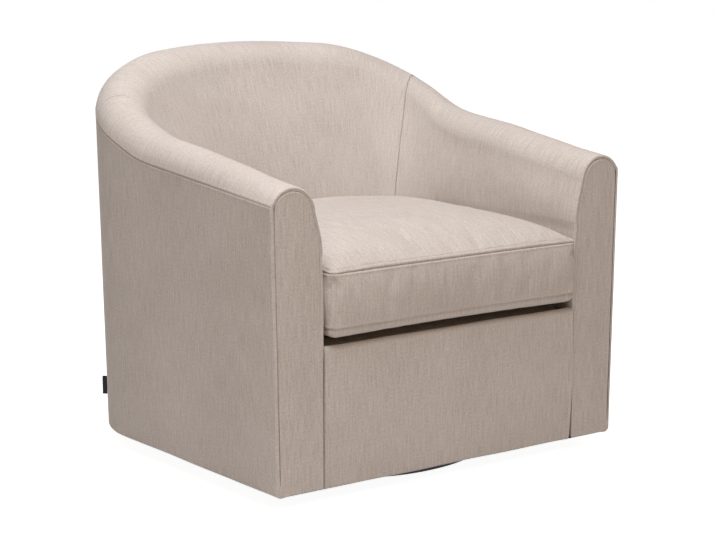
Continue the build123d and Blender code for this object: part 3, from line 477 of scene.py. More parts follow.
def padPiece(name, runs, frameInset, first, last):
    # Padded roll and inside wall: the roll line carried along the run, its three sewn edges folded in. Behind
    # it the padding follows the frame up to a ledge under the seam. Over an arm's front board it is only a
    # lining.
    cut = wallSlices(runs)
    w, z = rollLine(cut)
    face = placed(cut, w, z)
    fromStart = lengths(face, 0)
    fromSeam = lengths(face, 1)
    edges = ((first, fromStart, fromSeam), (last, fromStart[-1] - fromStart, fromSeam),
             ("outside", fromSeam, fromStart))
    out = normals(face)
    shown = face + out * sewnLift(face, edges, padForm)[..., None]
    gap = padForm["gap"]
    ledgeZ = cut["seam"] - padForm["ledge"] + gap
    ledgeW = wallAt(cut, ledgeZ) + padForm["wall"] / cut["slant"] + gap
    frameW = frameInset / cut["slant"]
    up = np.linspace(0, 1, 9)[1:]
    backW = [cut["depth"] + (frameW - cut["depth"]) * up, frameW + 0 * up, frameW + (ledgeW - frameW) * up,
             ledgeW + (wallAt(cut, cut["seam"]) + padForm["lip"] - ledgeW) * up]
    backZ = [tuckZ + 0 * (up + cut["depth"]), tuckZ + (ledgeZ - tuckZ) * up, ledgeZ + 0 * up,
             ledgeZ + (cut["seam"] + gap - ledgeZ) * up]
    inside = placed(cut, np.concatenate(backW, 1), np.concatenate(backZ, 1))
    picked = np.linspace(w.shape[1] - 1, 0, inside.shape[1]).round().astype(int)
    lining = (shown - out * tubForm["cover"])[:, picked]
    overBoard = cut["near"] < tubForm["facing"] + tubForm["board"] + padForm["boardGap"]
    loops = np.concatenate([shown, np.where(overBoard[..., None], lining, inside)], 1)
    uv = np.stack([np.broadcast_to(cut["run"], fromSeam.shape), fromSeam], -1)
    uv = np.concatenate([uv, uv[:, :inside.shape[1]]], 1)
    turned = {"front": 1, "joint": 0}
    order = [0] * turned[first] + list(range(len(loops))) + [len(loops) - 1] * turned[last]
    loops, uv = loops[order], uv[order]
    loops[0, :, 1] += padForm["slotDepth"] * turned[first]
    loops[-1, :, 1] += padForm["slotDepth"] * turned[last]
    return loftPiece(name, loops, uv)


def makePads():
    armRuns, backRuns = splitRuns(splitRun - padForm["insideLead"])
    armInset, backInset = padForm["armInset"], padForm["backInset"]
    plans = (("rightArmPad", armRuns, armInset, "front", "joint", "right_inside_arm_cover", "right_arm_foam"),
             ("leftArmPad", wholeRun - armRuns[::-1], armInset, "joint", "front", "left_inside_arm_cover",
              "left_arm_foam"),
             ("backPad", backRuns, backInset, "joint", "joint", "inside_back_cover", "back_foam"))
    for name, runs, inset, first, last, *nodes in plans:
        dress(padPiece(name, runs, inset, first, last), "chair", "upholstery", *nodes)


makePads()
print("pads: rolled arms and back")


# Outside covers
coverForm = {"hem": 10.0, "turnUnder": 9.0, "underLift": .8, "rowShare": 22 / 480, "swell": .5,
             "swellSize": 300.0, "swellEdge": 40.0, "pucker": (.15, 19.0, 7.0), "joint": (2.2, 1.6, .4),
             "front": (4.5, 4.5, 0), "outside": (1.3, 1.8, .3)}


def coverPiece(name, runs, first, last):
    # stretched cloth: turned under the frame, round a soft bottom edge, up the wall and folded at the seam
    cut = wallSlices(runs)
    hem, seam = coverForm["hem"], cut["seam"]
    under = np.linspace(1, 0, 5)[:-1]
    curl = np.linspace(-pi / 2, -pi, 9)
    top = spread(0, 1, coverForm["rowShare"], low=False, high=False)[1:]
    crowd = 1 - sewnSteps[::-1] / (seam - hemZ - hem).min()
    rise = np.concatenate([top[top < crowd[0] - .01], crowd])
    footW = wallAt(cut, hemZ + hem)
    w = [footW + hem + coverForm["turnUnder"] * under, footW + hem + hem * np.cos(curl) + 0 * seam,
         wallAt(cut, hemZ + hem + (seam - hemZ - hem) * rise)]
    z = [hemZ + coverForm["underLift"] * under + 0 * seam, hemZ + hem + hem * np.sin(curl) + 0 * seam,
         hemZ + hem + (seam - hemZ - hem) * rise]
    face = placed(cut, np.concatenate(w, 1), np.concatenate(z, 1))
    fromStart = lengths(face, 0)
    upward = lengths(face, 1)
    edges = ((first, fromStart, upward), (last, fromStart[-1] - fromStart, upward),
             ("outside", upward[:, -1:] - upward, fromStart))
    out = normals(face)
    shown = face + out * sewnLift(face, edges, coverForm)[..., None]
    lining = (shown - out * tubForm["cover"])[:, ::-1]
    uv = np.stack([np.broadcast_to(cut["run"], upward.shape), upward], -1)
    piece = loftPiece(name, np.concatenate([shown, lining], 1), np.concatenate([uv, uv[:, ::-1]], 1))
    return piece, float(fromStart[-1].max() * mm), float(upward.max() * mm)


def makeCovers():
    armRuns, backRuns = splitRuns(splitRun)
    plans = (("rightOutsideCover", armRuns, "front", "joint", "right_outside_arm_cover", "right_side_panel"),
             ("leftOutsideCover", wholeRun - armRuns[::-1], "joint", "front", "left_outside_arm_cover",
              "left_side_panel"),
             ("backOutsideCover", backRuns, "joint", "joint", "outside_back_cover", "back_shell"))
    for name, runs, first, last, node, under in plans:
        piece, wide, tall = coverPiece(name, runs, first, last)
        dress(piece, "chair", "upholstery", node)


makeCovers()
print("covers: outside arms and back")


# Arm facings
# apronBand and apronFade say where the inner edge lies beside the apron, footLead and footFade where the outer
# one nears the floor
facingForm = {"rim": 13.5, "inset": 7.5, "lowInset": 2.4, "bottomRound": {1: 17.0, -1: 12.0}, "puff": 1.6,
              "puffRun": 45.0, "pucker": (.15, 16.0, 9.0), "apronBand": 30.0, "apronFade": 30.0,
              "footLead": 4.0, "footFade": 26.0}
# rim from the seam allowance, under the folded lip, to the face, as distance in from the lip
# and depth behind the front
facingRim = np.array([(-2.2, 5.8), (1.5, 5.8), (2.6, 5.2), (2.8, 3.9), (2.2, 2.7), (1.0, 2.0), (.2, 1.4),
                      (0, .9), (.15, .4), (.6, -.05), (1.3, -.4), (2.2, -.6), (3.4, -.5), (4.8, -.35)])


def coonsPatch(front, right, back, left, a, b):
    # Coons patch: each point is drawn between opposite sides both ways, less the corners counted twice
    a, b = a[:, None, None], b[None, :, None]
    ruled = (1 - b) * front[:, None] + b * back[:, None] + (1 - a) * left[None] + a * right[None]
    corners = (1 - a) * ((1 - b) * front[0] + b * back[0]) + a * ((1 - b) * front[-1] + b * back[-1])
    return ruled - corners


def along(line, share):
    # points at shares of a line's own length
    run = lengths(line, 0)
    return np.stack([np.interp(share * run[-1], run, line[:, k]) for k in (0, 1)], -1)


def loopTurn(front, right, back, left):
    # values along four sides put end to end, once round
    return np.concatenate([front[:-1], right[:-1], back[:0:-1], left[:0:-1]])


def planLoop(sides):
    # four sides as one closed line
    return np.concatenate([loopTurn(*sides), sides[0][:1]])


def loopIndex(rows, columns):
    # index of the border of a grid, once round: front, right, back, left
    index = np.arange(rows * columns).reshape(rows, columns)
    return np.concatenate([index[:-1, 0], index[-1, :-1], index[:0:-1, -1], index[0, :0:-1]])


def facingOutline(side):
    # foot, inner edge, crest and outer edge of an arm's front as lines of (inwards, up) points
    cut = wallSlices(np.array([0.0]))
    w, z = rollLine(cut)
    crest = int(np.argmax(z[0]))
    bottom = facingForm["bottomRound"][side]
    bend = np.linspace(-pi / 2, -pi, 13)
    wallZ = np.linspace(hemZ + bottom, float(cut["seam"][0, 0]), 60)[1:]
    bent = np.stack([bottom + bottom * np.cos(bend), hemZ + bottom + bottom * np.sin(bend)], -1)
    wall = np.stack([wallAt(cut, wallZ)[0], wallZ], -1)
    roll = np.stack([w[0], z[0]], -1)
    foot = np.concatenate([bent[6::-1], [(cut["depth"][0, 0], hemZ)]])
    outer = np.concatenate([bent[6:], wall, roll[1:crest - 1]])
    inner = np.concatenate([foot[-1:], roll[:crest + 4:-1]])
    return foot, inner, roll[crest - 2:crest + 6], outer


def facingPiece(name, side):
    # A padded panel: a face patched between its four sides, slowly puffed, and a rim that turns in round it.
    # The rim is narrow along the apron and the floor, where no roll of arm or cover lies beside it.
    across, upward = np.linspace(0, 1, 24), np.linspace(0, 1, 110)
    shares = across, upward, across, upward
    sides = [along(line, share) for line, share in zip(facingOutline(side), shares)]
    outline = loopTurn(*sides)
    ahead = np.roll(outline, -1, 0) - np.roll(outline, 1, 0)
    inward = np.stack([-ahead[:, 1], ahead[:, 0]], -1) / np.linalg.norm(ahead, axis=1, keepdims=True)
    rim = facingForm["rim"]
    within = outline + inward * rim
    within[:, 1] = np.maximum(within[:, 1], hemZ + rim)
    innerFoot = sides[0][-1, 0]
    drawnIn = np.minimum(within[:, 0], innerFoot - rim)
    within[:, 0] = np.where(within[:, 1] < deckZ, drawnIn, within[:, 0])
    a, u = len(across), len(upward)
    turn = np.concatenate([within, within[:1]])
    parts = (turn[:a], turn[a - 1:a + u - 1], turn[a + u - 2:2 * a + u - 2][::-1], turn[2 * a + u - 3:][::-1])
    lines = [along(line, share) for line, share in zip(parts, shares)]
    within = loopTurn(*lines)
    flat = coonsPatch(*lines, across, upward)
    gap = flat[:, :, None] - outline[None, None]
    leg = (np.roll(outline, -1, 0) - outline)[None, None]
    near = np.clip((gap * leg).sum(-1) / np.maximum((leg ** 2).sum(-1), 1e-9), 0, 1)
    edge = np.linalg.norm(gap - leg * near[..., None], axis=-1).min(-1)
    bulge = facingForm["puff"] * ease((edge - rim) / facingForm["puffRun"])
    bulge = bulge + pucker(flat[..., 1], np.maximum(edge - rim, 0), *facingForm["pucker"])
    besideApron = ease((outline[:, 1] - deckZ + facingForm["apronFade"] / 2) / facingForm["apronFade"])
    aboveFloor = ease((outline[:, 1] - hemZ - facingForm["footLead"]) / facingForm["footFade"])
    clear = np.where(outline[:, 0] > innerFoot - facingForm["apronBand"], besideApron, aboveFloor)
    inset = facingForm["lowInset"] + (facingForm["inset"] - facingForm["lowInset"]) * clear
    stretch = (facingRim[::-1, 0, None] + inset) / rim
    loops = outline[None] + (within - outline)[None] * stretch[..., None]
    rimDepth = np.broadcast_to(facingRim[::-1, 1, None], loops.shape[:2])
    points = np.concatenate([flat.reshape(-1, 2), loops.reshape(-1, 2)])
    y = frontY + np.concatenate([(facingRim[-1, 1] - bulge).reshape(-1), rimDepth.reshape(-1)])
    border = loopIndex(a, u)
    rimIndex = a * u + np.arange(len(loops) * len(border)).reshape(-1, len(border))
    rings = np.concatenate([border[None], rimIndex])
    faces = np.concatenate([gridFaces(a, u), rings.ravel()[gridFaces(len(rings), len(border), closed=True)]])
    place = np.stack([side * (tubForm["half"] - points[:, 0]), y, points[:, 1]], -1)
    return meshPiece(name, place, faces, points, [rings[-1]])


def makeFacings():
    for hand, side in (("right", 1), ("left", -1)):
        piece = dress(facingPiece(hand + "Facing", side), "chair", "upholstery", hand + "_arm_facing")


makeFacings()
print("facings: both arm fronts")


# Front apron
# facing gives the depth, width and ridge of the ends that roll back beside the facings
apronForm = {"half": 279.8, "setback": 2.0, "bulge": 6.0, "lean": .72, "brow": 278.0, "browRadius": 10.0,
             "gutter": 11.0, "gutterSkew": .8, "back": 70.0, "hem": 5.0, "hemTuck": .6,
             "facing": (4.0, 2.2, .6), "swell": .7, "swellSize": 210.0, "swellEdge": 30.0,
             "pucker": (.3, 21.0, 10.0), "spread": 4.0, "spreadAt": 7.0, "spreadRun": 6.0,
             "railGap": 20.6, "railTop": 262.0, "railFoot": 2.0}


def makeApron():
    # The side view of the apron (a curled foot, a long bulging front, a round brow, a gutter behind it that
    # rises to the deck) carried across the chair. Its two ends roll back beside the facings and swell outwards
    # at mid height.
    face = frontY + apronForm["setback"]
    hem, radius, browZ = apronForm["hem"], apronForm["browRadius"], apronForm["brow"]
    curl = np.linspace(-pi / 2, -pi, 9)
    frontZ = np.linspace(hemZ + hem, browZ - radius, 34)[1:]
    upShare = (frontZ - hemZ) / (browZ - radius - hemZ)
    frontLine = face - apronForm["bulge"] * np.sin(pi * apronForm["lean"] * upShare)
    brow = np.linspace(pi, pi / 2, 13)[1:]
    back = np.linspace(0, 1, 24)[1:]
    browY = frontLine[-1] + radius
    backLine = browY + (frontY + apronForm["back"] - browY) * back
    gutter = apronForm["gutter"] * np.sin(pi * back ** apronForm["gutterSkew"]) ** 2
    backZ = browZ + (deckZ - browZ) * ease(back) - gutter
    y = np.concatenate([[face + 2 * hem], face + hem + hem * np.cos(curl), frontLine,
                        browY + radius * np.cos(brow), backLine])
    z = np.concatenate([[hemZ + apronForm["hemTuck"]], hemZ + hem + hem * np.sin(curl), frontZ,
                        browZ - radius + radius * np.sin(brow), backZ])
    across = spread(-apronForm["half"], apronForm["half"], 9)
    grid = np.stack(np.broadcast_arrays(across[:, None], y[None], z[None]), -1)
    edge = apronForm["half"] - np.abs(grid[..., 0])
    lift = sewnLift(grid, (("facing", edge, grid[..., 2]),), apronForm)
    shown = grid + normals(grid) * lift[..., None]
    height = np.clip((grid[..., 2] - hemZ) / (deckZ - hemZ), 0, 1)
    atEnd = np.exp(-((edge - apronForm["spreadAt"]) / apronForm["spreadRun"]) ** 2)
    shown[..., 0] += np.sign(grid[..., 0]) * apronForm["spread"] * np.sin(pi * height) ** 2 * atEnd
    railY, railTop = frontY + apronForm["railGap"], apronForm["railTop"]
    rail = np.array([(y[-1], railTop), (railY, railTop), (railY, bottomZ + apronForm["railFoot"])])
    inside = np.stack(np.broadcast_arrays(across[:, None], rail[None, :, 0], rail[None, :, 1]), -1)
    uv = np.stack([grid[..., 0], lengths(grid, 1)], -1)
    piece = loftPiece("frontApron", np.concatenate([shown, inside], 1), np.concatenate([uv, uv[:, :3]], 1))
    dress(piece, "chair", "upholstery", "apron_cover", "apron_pad")


makeApron()
print("apron: front panel")


# Seat cushion
cushionForm = {"gap": 10.0, "sideGap": 5.5, "front": frontY - 15, "draw": 4.0, "corner": 14.0,
               "lowSeam": 309.0, "topSeam": 403.0, "crown": 34.0, "crownRun": 130.0, "lip": 17.0,
               "lipRun": 17.0, "under": 150.0, "bulge": 1.5, "rest": deckZ + .4, "span": 560.0,
               "zipFrom": 120.0, "zipRun": 60.0, "sideMost": 7.0, "zipMost": 2.0, "sideMap": 1000.0}
# fold is the depth and width of the sewn edges; slope is the length of the shoulder against its plan
cushionSeam = {"fold": (2.9, 1.5), "slope": 1.3, "band": 7.6, "bandHeight": 1.0, "bandAt": .55, "bandRun": 2.2,
               "stitchDepth": 1.9, "stitchWidth": 1.0, "wave": .3, "wavePitch": 23.0, "waveDrift": 47.0,
               "waveAt": 12.0, "waveRun": 7.0, "lowRidge": .5, "sideTopRidge": .7, "sideLowRidge": .8,
               "topPucker": (.25, 19.0, 9.0), "lowPucker": (.3, 23.0, 9.0)}
puffForm = {"side": 57, "rows": 9, "frames": 20, "pressure": 4.0, "slack": -.012, "cap": 24.0, "underShare": .2}


def insetPlan(plan, inset):
    # a plan drawn in by an even distance
    return {**plan, **{key: plan[key] - inset for key in ("half", "corner", "back")}}


cushionPlan = {**insetPlan(seat, cushionForm["gap"]), "half": seat["half"] - cushionForm["sideGap"]}


def raised(flat, z):
    # points of a plan put at their heights
    return np.concatenate([flat, z[..., None]], -1)


def arcLine(cx, cy, radius, first, last, count=40):
    angle = np.linspace(first, last, count)
    return np.stack([cx + radius * np.cos(angle), cy + radius * np.sin(angle)], -1)


def planSides(plan, front, draw, corner):
    # four sides of a seat plan as fine lines: front, right, back (all from left or front), and left
    half = plan["half"]
    x = np.linspace(corner - half, half - corner, 60)
    frontEdge = np.stack([x, front + draw * (1 - (x / (half - corner)) ** 2)], -1)
    leftBend = arcLine(corner - half, front + corner, corner, 1.25 * pi, 1.5 * pi, 12)[:-1]
    rightBend = leftBend[::-1] * (-1, 1)
    middle = plan["turn"] / 2
    bend = arcLine(half - corner, front + corner, corner, -pi / 4, 0, 12)
    rearCorner = arcLine(plan["cornerX"], plan["cornerY"], plan["corner"], 0, middle)
    right = np.concatenate([bend, rearCorner])
    rearRight = arcLine(plan["cornerX"], plan["cornerY"], plan["corner"], middle, plan["turn"])
    rear = arcLine(0, plan["backY"], plan["back"], plan["turn"], pi / 2)
    rightHalf = np.concatenate([rearRight[:-1], rear])
    back = np.concatenate([rightHalf * (-1, 1), rightHalf[-2::-1]])
    return np.concatenate([leftBend, frontEdge, rightBend]), right, back, right * (-1, 1)


def filledPlan(sides, share):
    # a grid over a plan, patched between its four sides
    return coonsPatch(*(along(side, share) for side in sides), share, share)


def planEdge(plan, front, draw, corner, x, y):
    # distances of inside points to the front edge and to the curve round the sides and back, and to the nearest
    x = np.abs(x)
    half = plan["half"]
    frontGap = y - front - draw * np.clip(1 - (x / (half - corner)) ** 2, 0, 1)
    angle = np.arctan2(y - plan["cornerY"], x - plan["cornerX"])
    cornerGap = plan["corner"] - np.hypot(x - plan["cornerX"], y - plan["cornerY"])
    backGap = plan["back"] - np.hypot(x, y - plan["backY"])
    roundGap = np.where((angle > 0) & (angle < plan["turn"]) & (x > plan["cornerX"]), cornerGap, backGap)
    rearHalf = plan["cornerX"] + plan["corner"]
    sideX = half + (rearHalf - half) * np.clip((y - front - corner) / (plan["cornerY"] - front - corner), 0, 1)
    curveGap = np.where(y < plan["cornerY"], np.minimum(sideX - x, backGap), roundGap)
    bendGap = corner - np.hypot(x - half + corner, y - front - corner)
    atBend = (x > half - corner) & (y < front + corner)
    nearest = np.where(atBend, bendGap, np.minimum(frontGap, curveGap))
    return np.maximum(frontGap, 0), np.maximum(curveGap, 0), np.maximum(nearest, 0)


def domed(gap, run):
    # rounded shoulder: rises from 0 at the seam to 1 at run along a circle's quarter, flattened
    return np.sqrt(np.maximum(1 - np.clip(1 - gap / run, 0, 1) ** 2.2, 0))


def cushionForms(share, levels):
    # upper panel, side rows from the upper seam down to the lower one, and lower panel, before seams are drawn
    form = cushionForm
    sides = planSides(cushionPlan, form["front"], form["draw"], form["corner"])
    plan = filledPlan(sides, share)
    frontGap, curveGap, nearest = planEdge(cushionPlan, form["front"], form["draw"], form["corner"],
                                           plan[..., 0], plan[..., 1])
    rise = form["crown"] * domed(frontGap, form["crownRun"]) * domed(curveGap, form["crownRun"])
    sink = form["lowSeam"] - form["rest"] - form["lip"]
    sunk = sink * ease((nearest - 2 * form["lipRun"]) / form["under"])
    fall = form["lip"] * domed(nearest, form["lipRun"]) + sunk
    upper = raised(plan, form["topSeam"] + rise)
    lower = raised(plan, form["lowSeam"] - fall)
    ring = loopTurn(*(along(side, share) for side in sides))
    ahead = np.roll(ring, -1, 0) - np.roll(ring, 1, 0)
    outward = np.stack([ahead[:, 1], -ahead[:, 0]], -1) / np.linalg.norm(ahead, axis=1, keepdims=True)
    swell = form["bulge"] * (1 - (2 * levels - 1) ** 2)
    wallXy = ring[None] + outward[None] * swell[:, None, None]
    wallZ = form["topSeam"] + (form["lowSeam"] - form["topSeam"]) * levels
    wall = raised(wallXy, np.broadcast_to(wallZ[:, None], wallXy.shape[:2]))
    return upper, wall, lower, outward, nearest


def cushionFaces(side, rows):
    # faces of the closed cushion: both panels as grids, and the side strip between their borders
    panel = side * side
    ring = loopIndex(side, side)
    strip = panel + np.arange((rows - 2) * len(ring)).reshape(rows - 2, len(ring))
    lowStart = panel + strip.size
    levels = np.concatenate([ring[None], strip, ring[None] + lowStart])
    flat = levels.ravel()
    return np.concatenate([gridFaces(side, side), flat[gridFaces(rows, len(ring), closed=True)],
                           gridFaces(side, side, start=lowStart)]), levels


def closedPoints(upper, wall, lower):
    return np.concatenate([upper.reshape(-1, 3), wall[1:-1].reshape(-1, 3), lower.reshape(-1, 3)])


def puffed(points, faces, seams):
    # cloth blown up by a steady pressure with its seams held, as filling does inside a sewn case
    case = meshPiece("cushionCase", points, faces)
    held = case.vertex_groups.new(name="seams")
    held.add(seams.tolist(), 1.0, "REPLACE")
    cloth = case.modifiers.new("puff", "CLOTH")
    cloth.settings.effector_weights.gravity = 0
    cloth.settings.use_pressure = True
    cloth.settings.uniform_pressure_force = puffForm["pressure"]
    cloth.settings.shrink_min = puffForm["slack"]
    cloth.settings.vertex_group_mass = "seams"
    cloth.collision_settings.use_collision = False
    cloth.point_cache.frame_end = puffForm["frames"]
    scene = bpy.context.scene
    for step in range(1, puffForm["frames"] + 1):
        scene.frame_set(step)
    after = case.evaluated_get(bpy.context.evaluated_depsgraph_get()).data
    place = np.empty(len(points) * 3, np.float32)
    after.vertices.foreach_get("co", place)
    scene.frame_set(1)
    mesh = case.data
    bpy.data.objects.remove(case)
    bpy.data.meshes.remove(mesh)
    move = place.reshape(-1, 3).astype(float) / mm - points
    size = np.linalg.norm(move, axis=1, keepdims=True)
    return move * np.minimum(1, puffForm["cap"] / np.maximum(size, 1e-9))


def cubicWeights(fine, count):
    # rows of weights that draw a smooth curve through evenly spaced values (Catmull-Rom)
    spot = np.clip(fine * (count - 1), 0, count - 1 - 1e-9)
    base = spot.astype(int)
    t = spot - base
    parts = (-.5 * t + t ** 2 - .5 * t ** 3, 1 - 2.5 * t ** 2 + 1.5 * t ** 3,
             .5 * t + 2 * t ** 2 - 1.5 * t ** 3, -.5 * t ** 2 + .5 * t ** 3)
    weights = np.zeros((len(fine), count))
    for k, part in enumerate(parts):
        np.add.at(weights, (np.arange(len(fine)), np.clip(base + k - 1, 0, count - 1)), part)
    return weights


def cushionPuff(share, levels):
    # how far the filling moves each point of the three panels, drawn from a coarser simulated case
    side, rows = puffForm["side"], puffForm["rows"]
    coarse, coarseLevels = np.linspace(0, 1, side), np.linspace(0, 1, rows)
    upper, wall, lower, _, _ = cushionForms(coarse, coarseLevels)
    faces, ring = cushionFaces(side, rows)
    move = puffed(closedPoints(upper, wall, lower), faces, np.concatenate([ring[0], ring[-1]]))
    w, v = cubicWeights(share, side), cubicWeights(levels, rows)
    panel = side * side
    moves = (move[:panel], move[-panel:])
    panels = [np.einsum("ai,bj,ijk->abk", w, w, part.reshape(side, side, 3)) for part in moves]
    strip = move[ring]
    turn = side - 1
    turned = np.concatenate([strip, strip[:, :1]], 1)
    parts = [turned[:, k * turn:(k + 1) * turn + 1] for k in range(4)]
    parts = [parts[0], parts[1], parts[2][:, ::-1], parts[3][:, ::-1]]
    fine = [np.einsum("rl,ai,lik->ark", v, w, part) for part in parts]
    walls = loopTurn(*fine)
    return panels[0], np.moveaxis(walls, 0, 1), panels[1]


def makeCushion():
    # The three panels of the case, puffed, then drawn in at their seams: a fold all round, a topstitched band
    # beside the upper seam with small waves past it, and puckers on the side strip.
    form, seam = cushionForm, cushionSeam
    bandSteps = np.arange(4.0, 8.1, .5)  # closer rows for the topstitched band
    rows = np.union1d(spread(0, form["span"], 8), np.concatenate([bandSteps, form["span"] - bandSteps]))
    share = rows / form["span"]
    tall = form["topSeam"] - form["lowSeam"]
    levels = spread(0, tall, 7) / tall
    upper, wall, lower, outward, nearest = cushionForms(share, levels)
    puffUpper, puffWall, puffLower = cushionPuff(share, levels)
    upper, wall, lower = upper + puffUpper, wall + puffWall, lower + puffForm["underShare"] * puffLower
    tight = ease((wall[..., 1] - form["zipFrom"]) / form["zipRun"])  # the back of the case lies behind the zip
    past = ((wall[..., :2] - wall[:1, :, :2]) * outward).sum(-1)
    most = form["sideMost"] + (form["zipMost"] - form["sideMost"]) * tight
    wall[..., :2] -= outward * np.maximum(past - most, 0)[..., None]
    lower[..., 2] = np.maximum(lower[..., 2], form["rest"])
    shoulder = nearest * seam["slope"]  # distance from the seam over the sloping shoulder
    up = normals(upper)
    ringRun = lengths(np.concatenate([wall[0], wall[0, :1]]), 0)[:-1]
    band = seam["bandHeight"] * np.exp(-((shoulder - seam["bandAt"] * seam["band"]) / seam["bandRun"]) ** 2)
    stitch = seam["stitchDepth"] * np.exp(-((shoulder - seam["band"]) / seam["stitchWidth"]) ** 2)
    lift = foldedEdge(shoulder, *seam["fold"]) + band - stitch
    drift = 2 * np.sin(upper[..., 0] / seam["waveDrift"])
    wave = np.sin(2 * pi * (upper[..., 0] + upper[..., 1]) / seam["wavePitch"] + drift)
    lift = lift + seam["wave"] * wave * np.exp(-((shoulder - seam["waveAt"]) / seam["waveRun"]) ** 2)
    upper = upper + up * lift[..., None]
    lower = lower - normals(lower) * foldedEdge(shoulder, *seam["fold"], seam["lowRidge"])[..., None]
    fromTop, fromLow = levels * tall, (1 - levels) * tall
    sideLift = foldedEdge(fromTop, *seam["fold"], seam["sideTopRidge"])
    sideLift = sideLift + foldedEdge(fromLow, *seam["fold"], seam["sideLowRidge"])
    sideLift = sideLift[:, None] + pucker(ringRun[None], fromTop[:, None], *seam["topPucker"])
    sideLift = sideLift + pucker(ringRun[None], fromLow[:, None], *seam["lowPucker"])
    sideLift[[0, -1]] = -seam["fold"][0]
    wall[..., :2] += outward * sideLift[..., None]
    ring = loopIndex(len(share), len(share))
    for panel, row in ((upper, 0), (lower, -1)):
        flat = panel.reshape(-1, 3)
        flat[ring, :2] = wall[row, :, :2]
    faces, _ = cushionFaces(len(share), len(levels))
    ringUv = np.stack(np.broadcast_arrays(ringRun[None], fromTop[:, None] + form["sideMap"]), -1)
    uv = np.concatenate([upper.reshape(-1, 3)[:, :2], ringUv[1:-1].reshape(-1, 2), lower.reshape(-1, 3)[:, :2]])
    piece = meshPiece("seatCushion", closedPoints(upper, wall, lower), faces, uv)
    dress(piece, "seat_cushion", "upholstery", "cushion_foam", "cushion_top_panel", "cushion_boxing",
          "cushion_bottom_panel")
    return upper, up, shoulder


cushionTop = makeCushion()
print("cushion: boxed case", "puffed by simulation")


# Topstitching along the upper seam of the cushion
stitchForm = {"pitch": 4.2, "length": 3.2, "thick": .75, "lift": .15}


def makeStitches():
    # capsules laid end to end on the line beside the seam, each at the height of the cloth under it
    upper, up, shoulder = cushionTop
    inset = cushionSeam["band"] / cushionSeam["slope"]
    line = planLoop(planSides(insetPlan(cushionPlan, inset), cushionForm["front"] + inset, cushionForm["draw"],
                              cushionForm["corner"] - inset))
    count = int(lengths(line, 0)[-1] / stitchForm["pitch"])
    start, spot, end = (along(line, (np.arange(count) + part) / count) for part in (.4, .5, .6))
    near = shoulder < 3 * cushionSeam["band"]
    cloth, normal = upper[near], up[near]
    found = ((spot[:, None] - cloth[None, :, :2]) ** 2).sum(-1).argmin(1)
    middle = np.concatenate([spot, cloth[found, 2:]], 1) + stitchForm["lift"] * normal[found]
    lengthwise = raised(end - start, np.zeros(count))
    lengthwise = lengthwise - normal[found] * (lengthwise * normal[found]).sum(1, keepdims=True)
    lengthwise = lengthwise / np.linalg.norm(lengthwise, axis=1, keepdims=True)
    sideways = np.cross(normal[found], lengthwise)
    piece = beadPiece("cushionStitches", middle, lengthwise, sideways, stitchForm["length"],
                      stitchForm["thick"])
    dress(piece, "seat_cushion", "upholstery", material=sewingThread)


makeStitches()
print("stitches: cushion topstitching")


# Zip at the back of the cushion
zipForm = {"centreY": seat["backY"], "radius": 492.9, "tape": .8, "height": 22.0, "middle": 354.5, "span": 40.0,
           "edge": 1.6, "groove": .6, "pitch": 1.5, "toothLength": 4.6, "toothThick": 1.1, "toothSink": .1,
           "endTurn": .004, "lean": .22, "stagger": .5}


def roundPlace(radius, angle, z):
    # point at a radius and a bearing about the centre of the cushion's back
    shape = np.broadcast_arrays(radius * np.cos(angle), zipForm["centreY"] + radius * np.sin(angle), z)
    return np.stack(shape, -1)


def makeZip():
    # two woven tapes that meet under a coil of tilted teeth, carried along the arc of the cushion's back
    half = np.radians(zipForm["span"]) / 2
    angle = np.linspace(pi / 2 - half, pi / 2 + half, 121)
    tall = zipForm["height"] / 2
    edge, groove = zipForm["edge"], zipForm["groove"]
    rise = np.array([-tall, -tall + edge, -groove, 0, groove, tall - edge, tall])
    face = zipForm["radius"] + zipForm["tape"] * np.array([.45, 1, 1, .55, 1, 1, .45])
    z = np.concatenate([rise, rise[::-1]]) + zipForm["middle"]
    radius = np.concatenate([face, np.full(len(rise), zipForm["radius"])])
    loops = roundPlace(radius[None], angle[:, None], z[None])
    uv = np.stack(np.broadcast_arrays(zipForm["radius"] * angle[:, None], z[None]), -1)
    dress(loftPiece("zipTape", loops, uv), "seat_cushion", "zip_tape", "cushion_zip")
    count = int(2 * half * zipForm["radius"] / zipForm["pitch"])
    at = np.linspace(angle[0] + zipForm["endTurn"], angle[-1] - zipForm["endTurn"], count)
    hand = np.where(np.arange(count) % 2, 1, -1)
    lean = zipForm["lean"] * hand
    tangent = np.stack([-np.sin(at), np.cos(at), 0 * at], -1)
    outward = np.stack([np.cos(at), np.sin(at), 0 * at], -1)
    lengthwise = np.cos(lean)[:, None] * np.array([0, 0, 1.0]) + np.sin(lean)[:, None] * tangent
    coilRadius = zipForm["radius"] + zipForm["tape"] + (.5 - zipForm["toothSink"]) * zipForm["toothThick"]
    teeth = roundPlace(coilRadius, at, zipForm["middle"] + zipForm["stagger"] * hand)
    coil = beadPiece("zipCoil", teeth, lengthwise, outward, zipForm["toothLength"], zipForm["toothThick"])
    dress(coil, "seat_cushion", "zip_tape", material=nylonCoil)


def boxy(wave):
    # a sine wave with its shoulders filled out, which turns a ball into a rounded block
    return np.sign(wave) * np.abs(wave) ** .55


